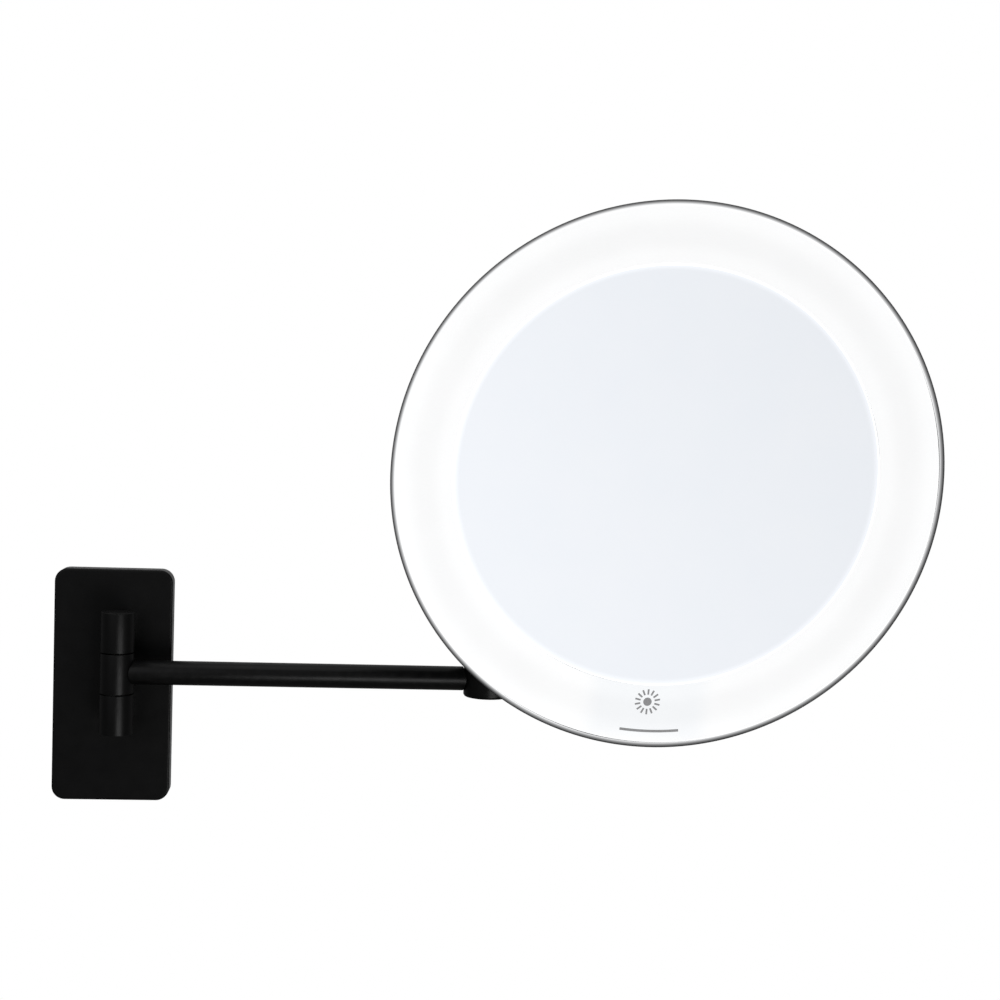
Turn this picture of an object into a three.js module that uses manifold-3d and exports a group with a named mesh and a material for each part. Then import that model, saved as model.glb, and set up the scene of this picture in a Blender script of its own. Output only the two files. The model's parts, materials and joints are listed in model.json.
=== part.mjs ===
// Lit shaving mirror on a two-link swing arm with a wall plate.
// Millimetres. Origin: centre of the wall plate's back face. +X right along the wall, +Y into
// the wall, +Z up. The wall is the plane Y = 0 and the mirror stands in front of it at -Y.
import * as THREE from "three";
import { mergeVertices } from "three/addons/utils/BufferGeometryUtils.js";
import Module from "manifold-3d";

const wasm = await Module();
wasm.setup();

// ---------- clearances ----------
const touchGap = 0.25; // between two pieces that bear on each other
const runFit = 0.08; // radial, between a pin and the bore it turns in
const overlap = 0.5; // how far two lumps of one piece are sunk into each other

// ---------- facets round a full turn ----------
const headSides = 64;
const shellSides = 48;
const carrierSides = 32;
const barrelSides = 24;
const boreSides = 18;
const screwSides = 10;

// ---------- wall plate ----------
const plateWidth = 50;
const plateHeight = 100;
const plateDepth = 8;
const plateCorner = 5.6;
const plateEdge = 0.7;
const plateWall = 1.8;

// ---------- wall knuckle ----------
const knuckleX = 4.5;
const knuckleZ = 8.3; // middle of the barrel above the middle of the plate
const knuckleDia = 14;
const knuckleSegment = 16.8;
const knuckleSplit = 0.5; // open line between two barrel segments
const knuckleStandoff = 26; // hinge axis to the wall
const hingePinDia = 6;

// ---------- arms ----------
const armDia = 10.2;
const armWall = 1.3;
const armRise = 0.4; // arm axis above the middle of the barrel
const armReach = 156; // wall hinge to elbow
const neckReach = 80; // elbow to swivel post
const neckBend = 15;

// ---------- elbow ----------
const hubDia = 20.6;
const hubHeight = 15;
const hubEdge = 1.7;
const elbowBoltDia = 6;

// ---------- mirror head ----------
const headDia = 220;
const headDepth = 30;
const lipWidth = 1.9;
const mirrorDia = 171;
const mirrorRecess = headDepth * 0.3; // rim plane to the mirror's edge
const mirrorSag = headDepth / 7.5; // how far the middle of the glass lies behind its edge
const mirrorThick = 2.5;
const ringThick = 2.5;
const shellWall = 1.8;
const symbolClock = 2; // degrees the touch symbol sits round from straight down, to the right

// ---------- tilt and swivel ----------
const tiltBarrelDia = 14;
const tiltBarrelLength = 14;
const tiltPinDia = 5;
const tiltStandoff = 14; // back of the head to the tilt axis
const swivelOffset = 17; // tilt axis to swivel axis
const swivelHeight = 18;
const tiltAxisZ = 93.4;
const headTurn = -20.2; // degrees, the head's rest turn about the swivel post
const headTilt = 13.6; // degrees, the head's rest tilt, face up

// ---------- helpers ----------
const finishes = {
  black: new THREE.Color(0x16171a),
  steel: new THREE.Color(0x9a9da1),
  zinc: new THREE.Color(0xb4b6b8),
  plastic: new THREE.Color(0x2a2b2d),
  white: new THREE.Color(0xf1f3f5),
  opal: new THREE.Color(0xf8fbff),
  mirror: new THREE.Color(0xdfe8f0),
  board: new THREE.Color(0x1f6b45),
  nylon: new THREE.Color(0x1c1c1c),
  brass: new THREE.Color(0xc6a14d),
  cell: new THREE.Color(0x3d5a80),
};

function solid(geometry) {
  const bare = geometry.index ? geometry.toNonIndexed() : geometry.clone();
  bare.deleteAttribute("normal");
  bare.deleteAttribute("uv");
  const merged = mergeVertices(bare, 1e-4);
  return new wasm.Manifold(
    new wasm.Mesh({
      numProp: 3,
      vertProperties: new Float32Array(merged.attributes.position.array),
      triVerts: new Uint32Array(merged.index.array),
    }),
  );
}

function geometryOf(body) {
  const mesh = body.getMesh();
  const position = new Float32Array(mesh.numVert * 3);
  for (let i = 0; i < mesh.numVert; i++) {
    for (let k = 0; k < 3; k++) {
      position[3 * i + k] = mesh.vertProperties[mesh.numProp * i + k];
    }
  }
  const made = new THREE.BufferGeometry();
  made.setAttribute("position", new THREE.BufferAttribute(position, 3));
  made.setIndex(new THREE.BufferAttribute(new Uint32Array(mesh.triVerts), 1));
  return made;
}

function place(target, name, shape, finish) {
  const body = shape.isBufferGeometry ? solid(shape) : shape;
  const flat = geometryOf(body).toNonIndexed();
  flat.computeVertexNormals();
  const metal = ["black", "steel", "zinc", "brass", "mirror"].includes(finish);
  const material = new THREE.MeshStandardMaterial({
    color: finishes[finish],
    metalness: metal ? 0.7 : 0,
    roughness: 0.45,
  });
  const mesh = new THREE.Mesh(flat, material);
  mesh.name = name;
  target.add(mesh);
}

// A solid of revolution from (radius, height) pairs, the height running along the axis named.
function turned(profile, axis = "z", segments = boreSides) {
  const points = profile.map(([r, h]) => new THREE.Vector2(r, h));
  const made = new THREE.LatheGeometry(points, segments);
  if (axis === "z") made.rotateX(Math.PI / 2);
  if (axis === "x") made.rotateZ(-Math.PI / 2);
  let body = solid(made);
  if (body.volume() < 0) {
    const flipped = new THREE.LatheGeometry(points.slice().reverse(), segments);
    if (axis === "z") flipped.rotateX(Math.PI / 2);
    if (axis === "x") flipped.rotateZ(-Math.PI / 2);
    body = solid(flipped);
  }
  return body;
}

// A round bar along an axis with its rim eased.
function bar(radius, from, to, axis = "z", ease = 0, segments = boreSides) {
  const profile = [[0, from]];
  if (ease > 0) {
    profile.push([radius - ease, from]);
    profile.push([radius, from + ease]);
    profile.push([radius, to - ease]);
    profile.push([radius - ease, to]);
  } else {
    profile.push([radius, from]);
    profile.push([radius, to]);
  }
  profile.push([0, to]);
  return turned(profile, axis, segments);
}

function box(x0, x1, y0, y1, z0, z1) {
  const made = new THREE.BoxGeometry(x1 - x0, y1 - y0, z1 - z0);
  made.translate((x0 + x1) / 2, (y0 + y1) / 2, (z0 + z1) / 2);
  return solid(made);
}

function roundedRect(width, height, corner) {
  const w = width / 2;
  const h = height / 2;
  const shape = new THREE.Shape();
  shape.moveTo(-w + corner, -h);
  shape.lineTo(w - corner, -h);
  shape.absarc(w - corner, -h + corner, corner, -Math.PI / 2, 0, false);
  shape.lineTo(w, h - corner);
  shape.absarc(w - corner, h - corner, corner, 0, Math.PI / 2, false);
  shape.lineTo(-w + corner, h);
  shape.absarc(-w + corner, h - corner, corner, Math.PI / 2, Math.PI, false);
  shape.lineTo(-w, -h + corner);
  shape.absarc(-w + corner, -h + corner, corner, Math.PI, 1.5 * Math.PI, false);
  return shape;
}

// A rounded rectangular slab standing in the XZ plane between y0 and y1.
function slab(width, height, corner, y0, y1) {
  const made = new THREE.ExtrudeGeometry(roundedRect(width, height, corner), {
    depth: y1 - y0,
    bevelEnabled: false,
    curveSegments: 8,
  });
  made.rotateX(Math.PI / 2);
  made.translate(0, y1, 0);
  return solid(made);
}

const root = new THREE.Group();
root.name = "shaving_mirror";

// ---------- wall plate and bracket ----------
const faceY = -plateDepth;
const innerFaceY = faceY + plateWall;
const bracketThick = 2.5;
const bracketWidth = plateWidth - 2 * plateWall - 4;
const bracketHeight = plateHeight - 2 * plateWall - 6;
const wallScrewZ = bracketHeight * 0.36;
const grubDia = 4;

const lowerLugZ = knuckleZ - knuckleSegment - knuckleSplit;
const upperLugZ = knuckleZ + knuckleSegment + knuckleSplit;
const lugScrewDia = 4;
const lugScrewHead = 7;

const plateOuter = new THREE.ExtrudeGeometry(
  roundedRect(
    plateWidth - 2 * plateEdge,
    plateHeight - 2 * plateEdge,
    plateCorner - plateEdge,
  ),
  {
    depth: plateDepth,
    bevelEnabled: true,
    bevelSize: plateEdge,
    bevelThickness: plateEdge,
    bevelSegments: 2,
    curveSegments: 7,
  },
);
plateOuter.rotateX(Math.PI / 2);
plateOuter.translate(0, plateEdge, 0);
const big = 2 * (plateWidth + plateHeight);
let plate = solid(plateOuter).subtract(box(-big, big, 0, big, -big, big));
plate = plate.subtract(
  slab(
    plateWidth - 2 * plateWall,
    plateHeight - 2 * plateWall,
    plateCorner - plateWall,
    innerFaceY,
    5,
  ),
);
for (const z of [lowerLugZ, upperLugZ]) {
  const hole = bar(lugScrewDia / 2 + touchGap, faceY - 1, innerFaceY + 1, "y", 0, screwSides);
  plate = plate.subtract(hole.translate([knuckleX, 0, z]));
}
const grubY = -plateDepth * 0.36;
const grubHole = bar(grubDia / 2 + touchGap, -plateHeight, -plateHeight / 2 + plateWall + 1);
plate = plate.subtract(grubHole.translate([0, grubY, 0]));
place(root, "wall_plate", plate, "black");

let bracket = slab(bracketWidth, bracketHeight, 3, -bracketThick, 0);
const flangeTop = -bracketHeight / 2 + 2;
bracket = bracket.add(
  box(-9, 9, innerFaceY + touchGap, -bracketThick + overlap, -bracketHeight / 2, flangeTop),
);
for (const z of [wallScrewZ, -wallScrewZ]) {
  const hole = bar(2.5 + touchGap, -bracketThick - 1, 1, "y", 0, screwSides);
  bracket = bracket.subtract(hole.translate([0, 0, z]));
}
const lugHeadRoom = lugScrewHead / 2 + 1;
for (const z of [lowerLugZ, upperLugZ]) {
  const room = bar(lugHeadRoom, -bracketThick - 1, 1, "y", 0, screwSides);
  bracket = bracket.subtract(room.translate([knuckleX, 0, z]));
}
place(root, "wall_bracket", bracket, "zinc");

function panScrew(headRadius, headHeight, shankRadius, length) {
  // Head from height 0 to headHeight, shank to -length, a cross slot in the head.
  const head = turned(
    [
      [0, -length],
      [shankRadius * 0.6, -length],
      [shankRadius, -length + shankRadius * 0.7],
      [shankRadius, 0],
      [headRadius, 0],
      [headRadius, headHeight * 0.55],
      [headRadius * 0.75, headHeight],
      [0, headHeight],
    ],
    "y",
    screwSides,
  );
  const arm = headRadius * 0.5;
  const half = headRadius * 0.13;
  const low = headHeight * 0.5;
  const slot = box(-arm, arm, low, headHeight + 1, -half, half);
  return head.subtract(slot).subtract(box(-half, half, low, headHeight + 1, -arm, arm));
}

// Shank into the wall, head in front of the bracket.
const wallScrewHead = Math.min(2.4, plateDepth - plateWall - bracketThick - 2 * touchGap);
const wallScrew = panScrew(4.4, wallScrewHead, 2.5, 34).rotate([180, 0, 0]);
for (const [name, z] of [["wall_screw_upper", wallScrewZ], ["wall_screw_lower", -wallScrewZ]]) {
  place(root, name, wallScrew.translate([0, -bracketThick - touchGap, z]), "steel");
}
const grubTip = -bracketHeight / 2 - touchGap;
const grubEnd = -plateHeight / 2 + 0.4;
let grub = bar(grubDia / 2, grubEnd, grubTip, "z", 0.3, screwSides);
grub = grub.subtract(bar(0.95, grubEnd - 1, grubEnd + 1.4, "z", 0, 6));
place(root, "grub_screw", grub.translate([0, grubY, 0]), "steel");

// ---------- wall knuckle ----------
const knuckleRadius = knuckleDia / 2;
const pinRadius = hingePinDia / 2;
const hingeY = -knuckleStandoff;
const sleeveLow = knuckleZ - knuckleSegment / 2;
const sleeveHigh = knuckleZ + knuckleSegment / 2;
const lugLowTop = sleeveLow - knuckleSplit;
const lugLowBottom = lugLowTop - knuckleSegment;
const lugHighBottom = sleeveHigh + knuckleSplit;
const lugHighTop = lugHighBottom + knuckleSegment;
const washerThick = 1;
const washerRadius = knuckleRadius - 1.6;
const washerClear = knuckleSplit * 0.4;
const recess = washerThick + 2 * washerClear - knuckleSplit;
const barrelEase = 0.45;
const neckPlateY = faceY - touchGap;

function lug(bottom, top, recessAtTop, boreFrom, boreTo, screwZ) {
  let body = bar(knuckleRadius, bottom, top, "z", barrelEase, barrelSides);
  const stemHalf = knuckleRadius * 0.62;
  const stemTall = knuckleSegment * 0.36;
  body = body.add(
    box(-stemHalf, stemHalf, 0, neckPlateY - hingeY, screwZ - stemTall, screwZ + stemTall),
  );
  body = body.subtract(bar(pinRadius + runFit, boreFrom, boreTo, "z", 0, barrelSides));
  const edge = recessAtTop ? top : bottom;
  body = body.subtract(
    bar(washerRadius + 0.2, edge - recess, edge + recess, "z", 0, boreSides),
  );
  const depth = neckPlateY - hingeY;
  const thread = bar(lugScrewDia / 2 + 0.1, depth - 7.4, depth + 1, "y", 0, screwSides);
  body = body.subtract(thread.translate([0, 0, screwZ]));
  return body.translate([knuckleX, hingeY, 0]);
}
const pinFoot = lugLowBottom + 0.6;
const pinTop = lugHighTop - 4;
place(
  root,
  "knuckle_lug_lower",
  lug(lugLowBottom, lugLowTop, true, lugLowBottom - 1, lugLowTop + 1, lowerLugZ),
  "black",
);
place(
  root,
  "knuckle_lug_upper",
  lug(lugHighBottom, lugHighTop, false, lugHighBottom - 1, pinTop + touchGap, upperLugZ),
  "black",
);
let hingePin = bar(pinRadius, pinFoot, pinTop, "z", 0.4, barrelSides);
hingePin = hingePin.subtract(
  box(-pinRadius - 1, pinRadius + 1, -0.5, 0.5, pinFoot - 1, pinFoot + 0.9),
);
place(root, "hinge_pin", hingePin.translate([knuckleX, hingeY, 0]), "steel");

function washer(outer, inner, from, to, axis = "z") {
  return turned(
    [
      [inner, from],
      [outer, from],
      [outer, to],
      [inner, to],
      [inner, from],
    ],
    axis,
    boreSides,
  );
}
const washerBore = pinRadius + 0.2;
const lowWasherTop = sleeveLow - washerClear;
const highWasherFoot = sleeveHigh + washerClear;
place(
  root,
  "hinge_washer_lower",
  washer(washerRadius, washerBore, lowWasherTop - washerThick, lowWasherTop).translate([
    knuckleX,
    hingeY,
    0,
  ]),
  "nylon",
);
place(
  root,
  "hinge_washer_upper",
  washer(washerRadius, washerBore, highWasherFoot, highWasherFoot + washerThick).translate([
    knuckleX,
    hingeY,
    0,
  ]),
  "nylon",
);

// Screws that hold the lugs, heads inside the wall plate.
const lugScrewSeat = innerFaceY + touchGap;
const lugScrewLength = lugScrewSeat - neckPlateY + 6.6;
const lugScrew = panScrew(lugScrewHead / 2, 2, lugScrewDia / 2, lugScrewLength);
for (const [name, z] of [["lug_screw_lower", lowerLugZ], ["lug_screw_upper", upperLugZ]]) {
  place(root, name, lugScrew.translate([knuckleX, lugScrewSeat, z]), "steel");
}

// ---------- first arm ----------
const armRadius = armDia / 2;
const armZ = knuckleZ + armRise;
const elbowX = knuckleX + armReach;
const armY = hingeY;
let sleeve = bar(knuckleRadius, sleeveLow, sleeveHigh, "z", barrelEase, barrelSides);
const spigotRadius = armRadius - armWall - 0.1;
const spigotEnd = knuckleRadius + 9;
sleeve = sleeve.add(
  bar(spigotRadius, 0, spigotEnd, "x", 0, boreSides).translate([0, 0, armZ]),
);
sleeve = sleeve.subtract(bar(pinRadius + runFit, sleeveLow - 1, sleeveHigh + 1, "z", 0, barrelSides));
place(root, "knuckle_sleeve", sleeve.translate([knuckleX, hingeY, 0]), "black");

const hubRadius = hubDia / 2;
let tube = washer(armRadius, armRadius - armWall, 0, armReach, "x");
tube = tube.translate([0, 0, armZ]);
tube = tube.subtract(bar(knuckleRadius + touchGap, armZ - armDia, armZ + armDia, "z", 0, barrelSides));
const hubCut = bar(hubRadius + touchGap, armZ - armDia, armZ + armDia, "z", 0, barrelSides);
tube = tube.subtract(hubCut.translate([armReach, 0, 0]));
place(root, "arm_tube", tube.translate([knuckleX, armY, 0]), "black");

// ---------- elbow ----------
const boltRadius = elbowBoltDia / 2;
const hubLowBottom = armZ - hubHeight / 2;
const hubLowTop = armZ + hubHeight / 2;
const hubSplit = 0.5;
const hubHighBottom = hubLowTop + hubSplit;
const hubHighTop = hubHighBottom + hubHeight;
const neckZ = hubHighBottom + hubHeight / 2;
const hubWasherRadius = hubRadius - 2.4;
const hubWasherThick = 1.2;
const hubRecess = hubWasherThick + 0.4 - hubSplit;
const capRadius = hubRadius - 3;
const capThick = 1.3;
const capPocket = capThick + touchGap + 2.6;
const boltHeadRadius = 5;
const boltHeadThick = 2;

function hub(low, high, capAtBottom, side, tubeZ) {
  let body = turned(
    [
      [0, low],
      [hubRadius - hubEdge, low],
      [hubRadius - hubEdge * 0.3, low + hubEdge * 0.3],
      [hubRadius, low + hubEdge],
      [hubRadius, high - hubEdge],
      [hubRadius - hubEdge * 0.3, high - hubEdge * 0.3],
      [hubRadius - hubEdge, high],
      [0, high],
    ],
    "z",
    barrelSides,
  );
  const stub = bar(spigotRadius, 0, hubRadius + 9, "x", 0, boreSides);
  body = body.add((side < 0 ? stub.rotate([0, 0, 180]) : stub).translate([0, 0, tubeZ]));
  body = body.subtract(bar(boltRadius + runFit, low - 1, high + 1, "z", 0, barrelSides));
  const pocket = capAtBottom
    ? bar(capRadius + 0.15, low - 1, low + capPocket, "z", 0, boreSides)
    : bar(capRadius + 0.15, high - capPocket, high + 1, "z", 0, boreSides);
  body = body.subtract(pocket);
  if (!capAtBottom) {
    body = body.subtract(
      bar(hubWasherRadius + 0.2, low - 1, low + hubRecess, "z", 0, boreSides),
    );
  }
  return body.translate([elbowX, armY, 0]);
}
place(root, "elbow_hub_lower", hub(hubLowBottom, hubLowTop, true, -1, armZ), "black");
place(root, "elbow_hub_upper", hub(hubHighBottom, hubHighTop, false, 1, neckZ), "black");

const boltSeat = hubLowBottom + capPocket - touchGap;
const nutSeat = hubHighTop - capPocket + touchGap;
const boltTop = nutSeat + 1.9;
let bolt = turned(
  [
    [0, boltSeat - boltHeadThick],
    [boltHeadRadius, boltSeat - boltHeadThick],
    [boltHeadRadius, boltSeat],
    [boltRadius, boltSeat],
    [boltRadius, boltTop - 0.4],
    [boltRadius - 0.4, boltTop],
    [0, boltTop],
  ],
  "z",
  barrelSides,
);
bolt = bolt.subtract(
  bar(1.7, boltSeat - boltHeadThick - 1, boltSeat - boltHeadThick + 1.3, "z", 0, 6),
);
place(root, "elbow_bolt", bolt.translate([elbowX, armY, 0]), "steel");
const nut = bar(5.3, nutSeat, nutSeat + 2.2, "z", 0, 6).subtract(
  bar(boltRadius + 0.1, nutSeat - 1, nutSeat + 4, "z", 0, barrelSides),
);
place(root, "elbow_nut", nut.translate([elbowX, armY, 0]), "steel");
const elbowWasher = washer(
  hubWasherRadius,
  boltRadius + 0.2,
  hubLowTop + 0.2,
  hubLowTop + 0.2 + hubWasherThick,
);
place(root, "elbow_washer", elbowWasher.translate([elbowX, armY, 0]), "nylon");
const capLow = bar(capRadius, hubLowBottom + 0.15, hubLowBottom + 0.15 + capThick, "z", 0.3, boreSides);
place(root, "elbow_cap_lower", capLow.translate([elbowX, armY, 0]), "black");
const capHigh = bar(capRadius, hubHighTop - 0.15 - capThick, hubHighTop - 0.15, "z", 0.3, boreSides);
place(root, "elbow_cap_upper", capHigh.translate([elbowX, armY, 0]), "black");

// ---------- second arm: out from the elbow, then up behind the head ----------
const swivelLow = tiltAxisZ - swivelHeight / 2;
const swivelHigh = tiltAxisZ + swivelHeight / 2;
const swivelWasherThick = 1;
const neckTop = swivelLow - swivelWasherThick - 2 * touchGap;
// One sweep: a straight run, a quarter bend and an upright.
class BentPath extends THREE.Curve {
  constructor(start, end, steps) {
    super();
    this.start = start;
    this.end = end;
    this.steps = steps;
  }
  turnAt(t) {
    const step = Math.min(Math.max(t * this.steps - 1, 0), this.steps - 2);
    return ((step / (this.steps - 2)) * Math.PI) / 2;
  }
  getPoint(t, target = new THREE.Vector3()) {
    const turn = this.turnAt(t);
    const before = Math.max(1 - t * this.steps, 0);
    const after = Math.max(t * this.steps - (this.steps - 1), 0);
    const corner = neckReach - neckBend;
    target.set(
      corner + neckBend * Math.sin(turn) - before * (corner - this.start),
      0,
      neckZ + neckBend * (1 - Math.cos(turn)) + after * (this.end - neckZ - neckBend),
    );
    return target;
  }
  getPointAt(t, target) {
    return this.getPoint(t, target);
  }
  getTangentAt(t, target = new THREE.Vector3()) {
    const turn = this.turnAt(t);
    return target.set(Math.cos(turn), 0, Math.sin(turn));
  }
}
function bentBar(radius, start, end) {
  const steps = 9;
  const circle = new THREE.Shape();
  for (let i = 0; i < boreSides; i++) {
    const a = (2 * Math.PI * i) / boreSides;
    if (i === 0) circle.moveTo(radius, 0);
    else circle.lineTo(radius * Math.cos(a), radius * Math.sin(a));
  }
  const path = new BentPath(start, end, steps);
  const swept = new THREE.ExtrudeGeometry(circle, {
    steps,
    bevelEnabled: false,
    extrudePath: path,
  });
  return solid(swept);
}
let neck = bentBar(armRadius, 0, neckTop);
neck = neck.subtract(bentBar(armRadius - armWall, -1, neckTop + 1));
neck = neck.subtract(bar(hubRadius + touchGap, neckZ - armDia, neckZ + armDia, "z", 0, barrelSides));
place(root, "neck_tube", neck.translate([elbowX, armY, 0]), "black");

const postX = elbowX + neckReach;
const swivelPinRadius = pinRadius;
const collarTop = neckTop + touchGap;
let swivelPin = turned(
  [
    [0, neckTop - 12],
    [spigotRadius - 0.4, neckTop - 12],
    [spigotRadius, neckTop - 11.6],
    [spigotRadius, neckTop],
    [swivelPinRadius, collarTop],
    [swivelPinRadius, swivelHigh - 4.4],
    [swivelPinRadius - 0.4, swivelHigh - 4],
    [0, swivelHigh - 4],
  ],
  "z",
  barrelSides,
);
place(root, "swivel_pin", swivelPin.translate([postX, armY, 0]), "steel");
const swivelWasher = washer(
  armRadius,
  Math.max(spigotRadius, swivelPinRadius) + 0.2,
  neckTop + touchGap,
  neckTop + touchGap + swivelWasherThick,
);
place(root, "swivel_washer", swivelWasher.translate([postX, armY, 0]), "nylon");

// ---------- swivel knuckle ----------
const swivel = new THREE.Group();
swivel.position.set(postX, armY, tiltAxisZ);
swivel.rotation.z = THREE.MathUtils.degToRad(headTurn);
root.add(swivel);
const tiltRadius = tiltBarrelDia / 2;
const tiltPinRadius = tiltPinDia / 2;
const halfSwivel = swivelHeight / 2;
const halfBarrel = tiltBarrelLength / 2;
let knuckle = bar(knuckleRadius, -halfSwivel, halfSwivel, "z", barrelEase, barrelSides);
knuckle = knuckle.add(bar(tiltRadius * 0.66, -swivelOffset, 0, "y", 0, boreSides));
const crossBarrel = bar(tiltRadius, -halfBarrel, halfBarrel, "x", barrelEase, barrelSides);
knuckle = knuckle.add(crossBarrel.translate([0, -swivelOffset, 0]));
knuckle = knuckle.subtract(
  bar(swivelPinRadius + runFit, -halfSwivel - 1, halfSwivel - 4 + touchGap, "z", 0, barrelSides),
);
const crossBore = bar(tiltPinRadius + runFit, -halfBarrel - 1, halfBarrel + 1, "x", 0, barrelSides);
knuckle = knuckle.subtract(crossBore.translate([0, -swivelOffset, 0]));
const setScrewTip = swivelPinRadius + 0.4;
const setScrew = bar(2, setScrewTip, knuckleRadius - 0.3, "y", 0.25, screwSides).subtract(
  bar(0.95, knuckleRadius - 1.6, knuckleRadius + 1, "y", 0, 6),
);
const setScrewHole = bar(2.12, setScrewTip - 0.15, knuckleRadius + 1, "y", 0, screwSides);
place(swivel, "swivel_knuckle", knuckle.subtract(setScrewHole), "black");
place(swivel, "swivel_set_screw", setScrew, "steel");

// ---------- head ----------
// Head frame: face at y = 0 looking along -Y, depth along +Y, tilt axis at y = tiltDepth.
const tiltDepth = headDepth + tiltStandoff;
const tilt = new THREE.Group();
tilt.position.set(0, -swivelOffset, 0);
tilt.rotation.x = -THREE.MathUtils.degToRad(headTilt);
swivel.add(tilt);
const head = new THREE.Group();
head.position.set(0, -tiltDepth, 0);
tilt.add(head);

const flangeY = headDepth + touchGap;
const flangeThick = 4;
const flangeRadius = 22;
const tiltSplit = 0.5;
const tiltWasherThick = 0.8;
const lugIn = halfBarrel + tiltSplit;
const lugLength = 9;
const lugOut = lugIn + lugLength;
const tiltWasherClear = 0.2;
const tiltRecess = tiltWasherThick + 2 * tiltWasherClear - tiltSplit;
const tiltWasherRadius = tiltRadius - 1.6;
let tiltBracket = turned(
  [
    [0, flangeY],
    [flangeRadius, flangeY],
    [flangeRadius, flangeY + flangeThick - 0.8],
    [flangeRadius - 0.8, flangeY + flangeThick],
    [0, flangeY + flangeThick],
  ],
  "y",
  40,
);
for (const side of [-1, 1]) {
  const x0 = side > 0 ? lugIn : -lugOut;
  const x1 = side > 0 ? lugOut : -lugIn;
  const barrel = bar(tiltRadius, x0, x1, "x", barrelEase, barrelSides).translate([0, tiltDepth, 0]);
  tiltBracket = tiltBracket.add(barrel);
  tiltBracket = tiltBracket.add(
    box(x0 + 0.6, x1 - 0.6, flangeY + 1, tiltDepth, -tiltRadius * 0.7, tiltRadius * 0.7),
  );
  const edge = side * lugIn;
  const pocket = bar(tiltWasherRadius + 0.2, edge - tiltRecess, edge + tiltRecess, "x", 0, boreSides);
  tiltBracket = tiltBracket.subtract(pocket.translate([0, tiltDepth, 0]));
}
const tiltBore = bar(tiltPinRadius + 0.1, -lugOut - 1, lugOut + 1, "x", 0, barrelSides);
tiltBracket = tiltBracket.subtract(tiltBore.translate([0, tiltDepth, 0]));
const clampCircle = 15.5;
const clampAngles = [90, 210, 330];
const clampAt = clampAngles.map((deg) => [
  clampCircle * Math.cos(THREE.MathUtils.degToRad(deg)),
  clampCircle * Math.sin(THREE.MathUtils.degToRad(deg)),
]);
for (const [x, z] of clampAt) {
  const hole = bar(1.5 + 0.1, flangeY - 1, flangeY + flangeThick - 0.6, "y", 0, screwSides);
  tiltBracket = tiltBracket.subtract(hole.translate([x, 0, z]));
}
place(head, "tilt_bracket", tiltBracket, "black");
let tiltPin = bar(tiltPinRadius, -lugOut + 0.4, lugOut - 0.4, "x", 0.4, barrelSides);
tiltPin = tiltPin.subtract(
  box(lugOut - 1.3, lugOut + 1, -0.45, 0.45, -tiltPinRadius - 1, tiltPinRadius + 1),
);
place(head, "tilt_pin", tiltPin.translate([0, tiltDepth, 0]), "steel");
for (const side of [-1, 1]) {
  const near = halfBarrel + tiltWasherClear;
  const far = near + tiltWasherThick;
  const from = side > 0 ? near : -far;
  const to = side > 0 ? far : -near;
  const ring = washer(tiltWasherRadius, tiltPinRadius + 0.2, from, to, "x");
  const name = side > 0 ? "tilt_washer_right" : "tilt_washer_left";
  place(head, name, ring.translate([0, tiltDepth, 0]), "nylon");
}

// ---------- rim, rear shell ----------
const rimRadius = headDia / 2;
const rimDepth = 5;
const rimInner = rimRadius - lipWidth;

place(
  head,
  "front_rim",
  turned(
    [
      [rimInner, 0.5],
      [rimInner + 0.35, 0.12],
      [rimInner + 0.8, 0],
      [rimRadius - 0.8, 0],
      [rimRadius - 0.25, 0.25],
      [rimRadius, 0.9],
      [rimRadius - 0.9, rimDepth],
      [rimInner, rimDepth],
      [rimInner, 0.5],
    ],
    "y",
    headSides,
  ),
  "black",
);
const shellFront = rimDepth + touchGap;
const shellInner = headDepth - shellWall;
const shellOuterProfile = [
  [rimRadius - 0.95, shellFront],
  [rimRadius * 0.968, headDepth * 0.37],
  [rimRadius * 0.91, headDepth * 0.62],
  [rimRadius * 0.82, headDepth * 0.85],
  [rimRadius * 0.72, headDepth * 0.965],
  [rimRadius * 0.64, headDepth],
  [0, headDepth],
];
const shellInnerProfile = [
  [0, shellInner],
  [rimRadius * 0.64, shellInner],
  [rimRadius * 0.71, headDepth * 0.965 - shellWall],
  [rimRadius * 0.805, headDepth * 0.85 - shellWall],
  [rimRadius * 0.893, headDepth * 0.62 - shellWall],
  [rimRadius * 0.95, headDepth * 0.37 - shellWall * 0.6],
  [rimRadius - 0.95 - shellWall, shellFront],
  [rimRadius - 0.95, shellFront],
];
let shell = turned(shellOuterProfile.concat(shellInnerProfile), "y", shellSides);

// Battery layout, below the bracket.
const cellClear = 0.3;
const trayWall = 1.2;
const glassBack = mirrorRecess + mirrorThick + mirrorSag;
const cellDia = shellInner - glassBack - trayWall - 2 * cellClear - 0.4; // AAA at this depth
const cellLength = 44.5;
const cellPitch = cellDia + 0.8;
const cellDepth = shellInner - cellClear - cellDia / 2;
const trayTop = -flangeRadius - 9;
const trayHalf = cellLength / 2 + 2.6;
const cellRows = [0, 1, 2].map((i) => trayTop - trayWall - 0.5 - cellDia / 2 - i * cellPitch);
const trayBottom = cellRows[2] - cellDia / 2 - 0.5 - trayWall;
const doorWidth = 2 * trayHalf + 1;
const doorHeight = trayTop - trayBottom + 1;
const doorZ = (trayTop + trayBottom) / 2;
const doorCorner = 4;
const doorCut = slab(
  doorWidth + 2 * touchGap,
  doorHeight + 2 * touchGap,
  doorCorner + touchGap,
  shellInner - 1,
  headDepth + 1,
);
shell = shell.subtract(doorCut.translate([0, 0, doorZ]));
for (const [x, z] of clampAt) {
  const hole = bar(1.5 + touchGap, shellInner - 1, headDepth + 1, "y", 0, screwSides);
  shell = shell.subtract(hole.translate([x, 0, z]));
}

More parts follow.
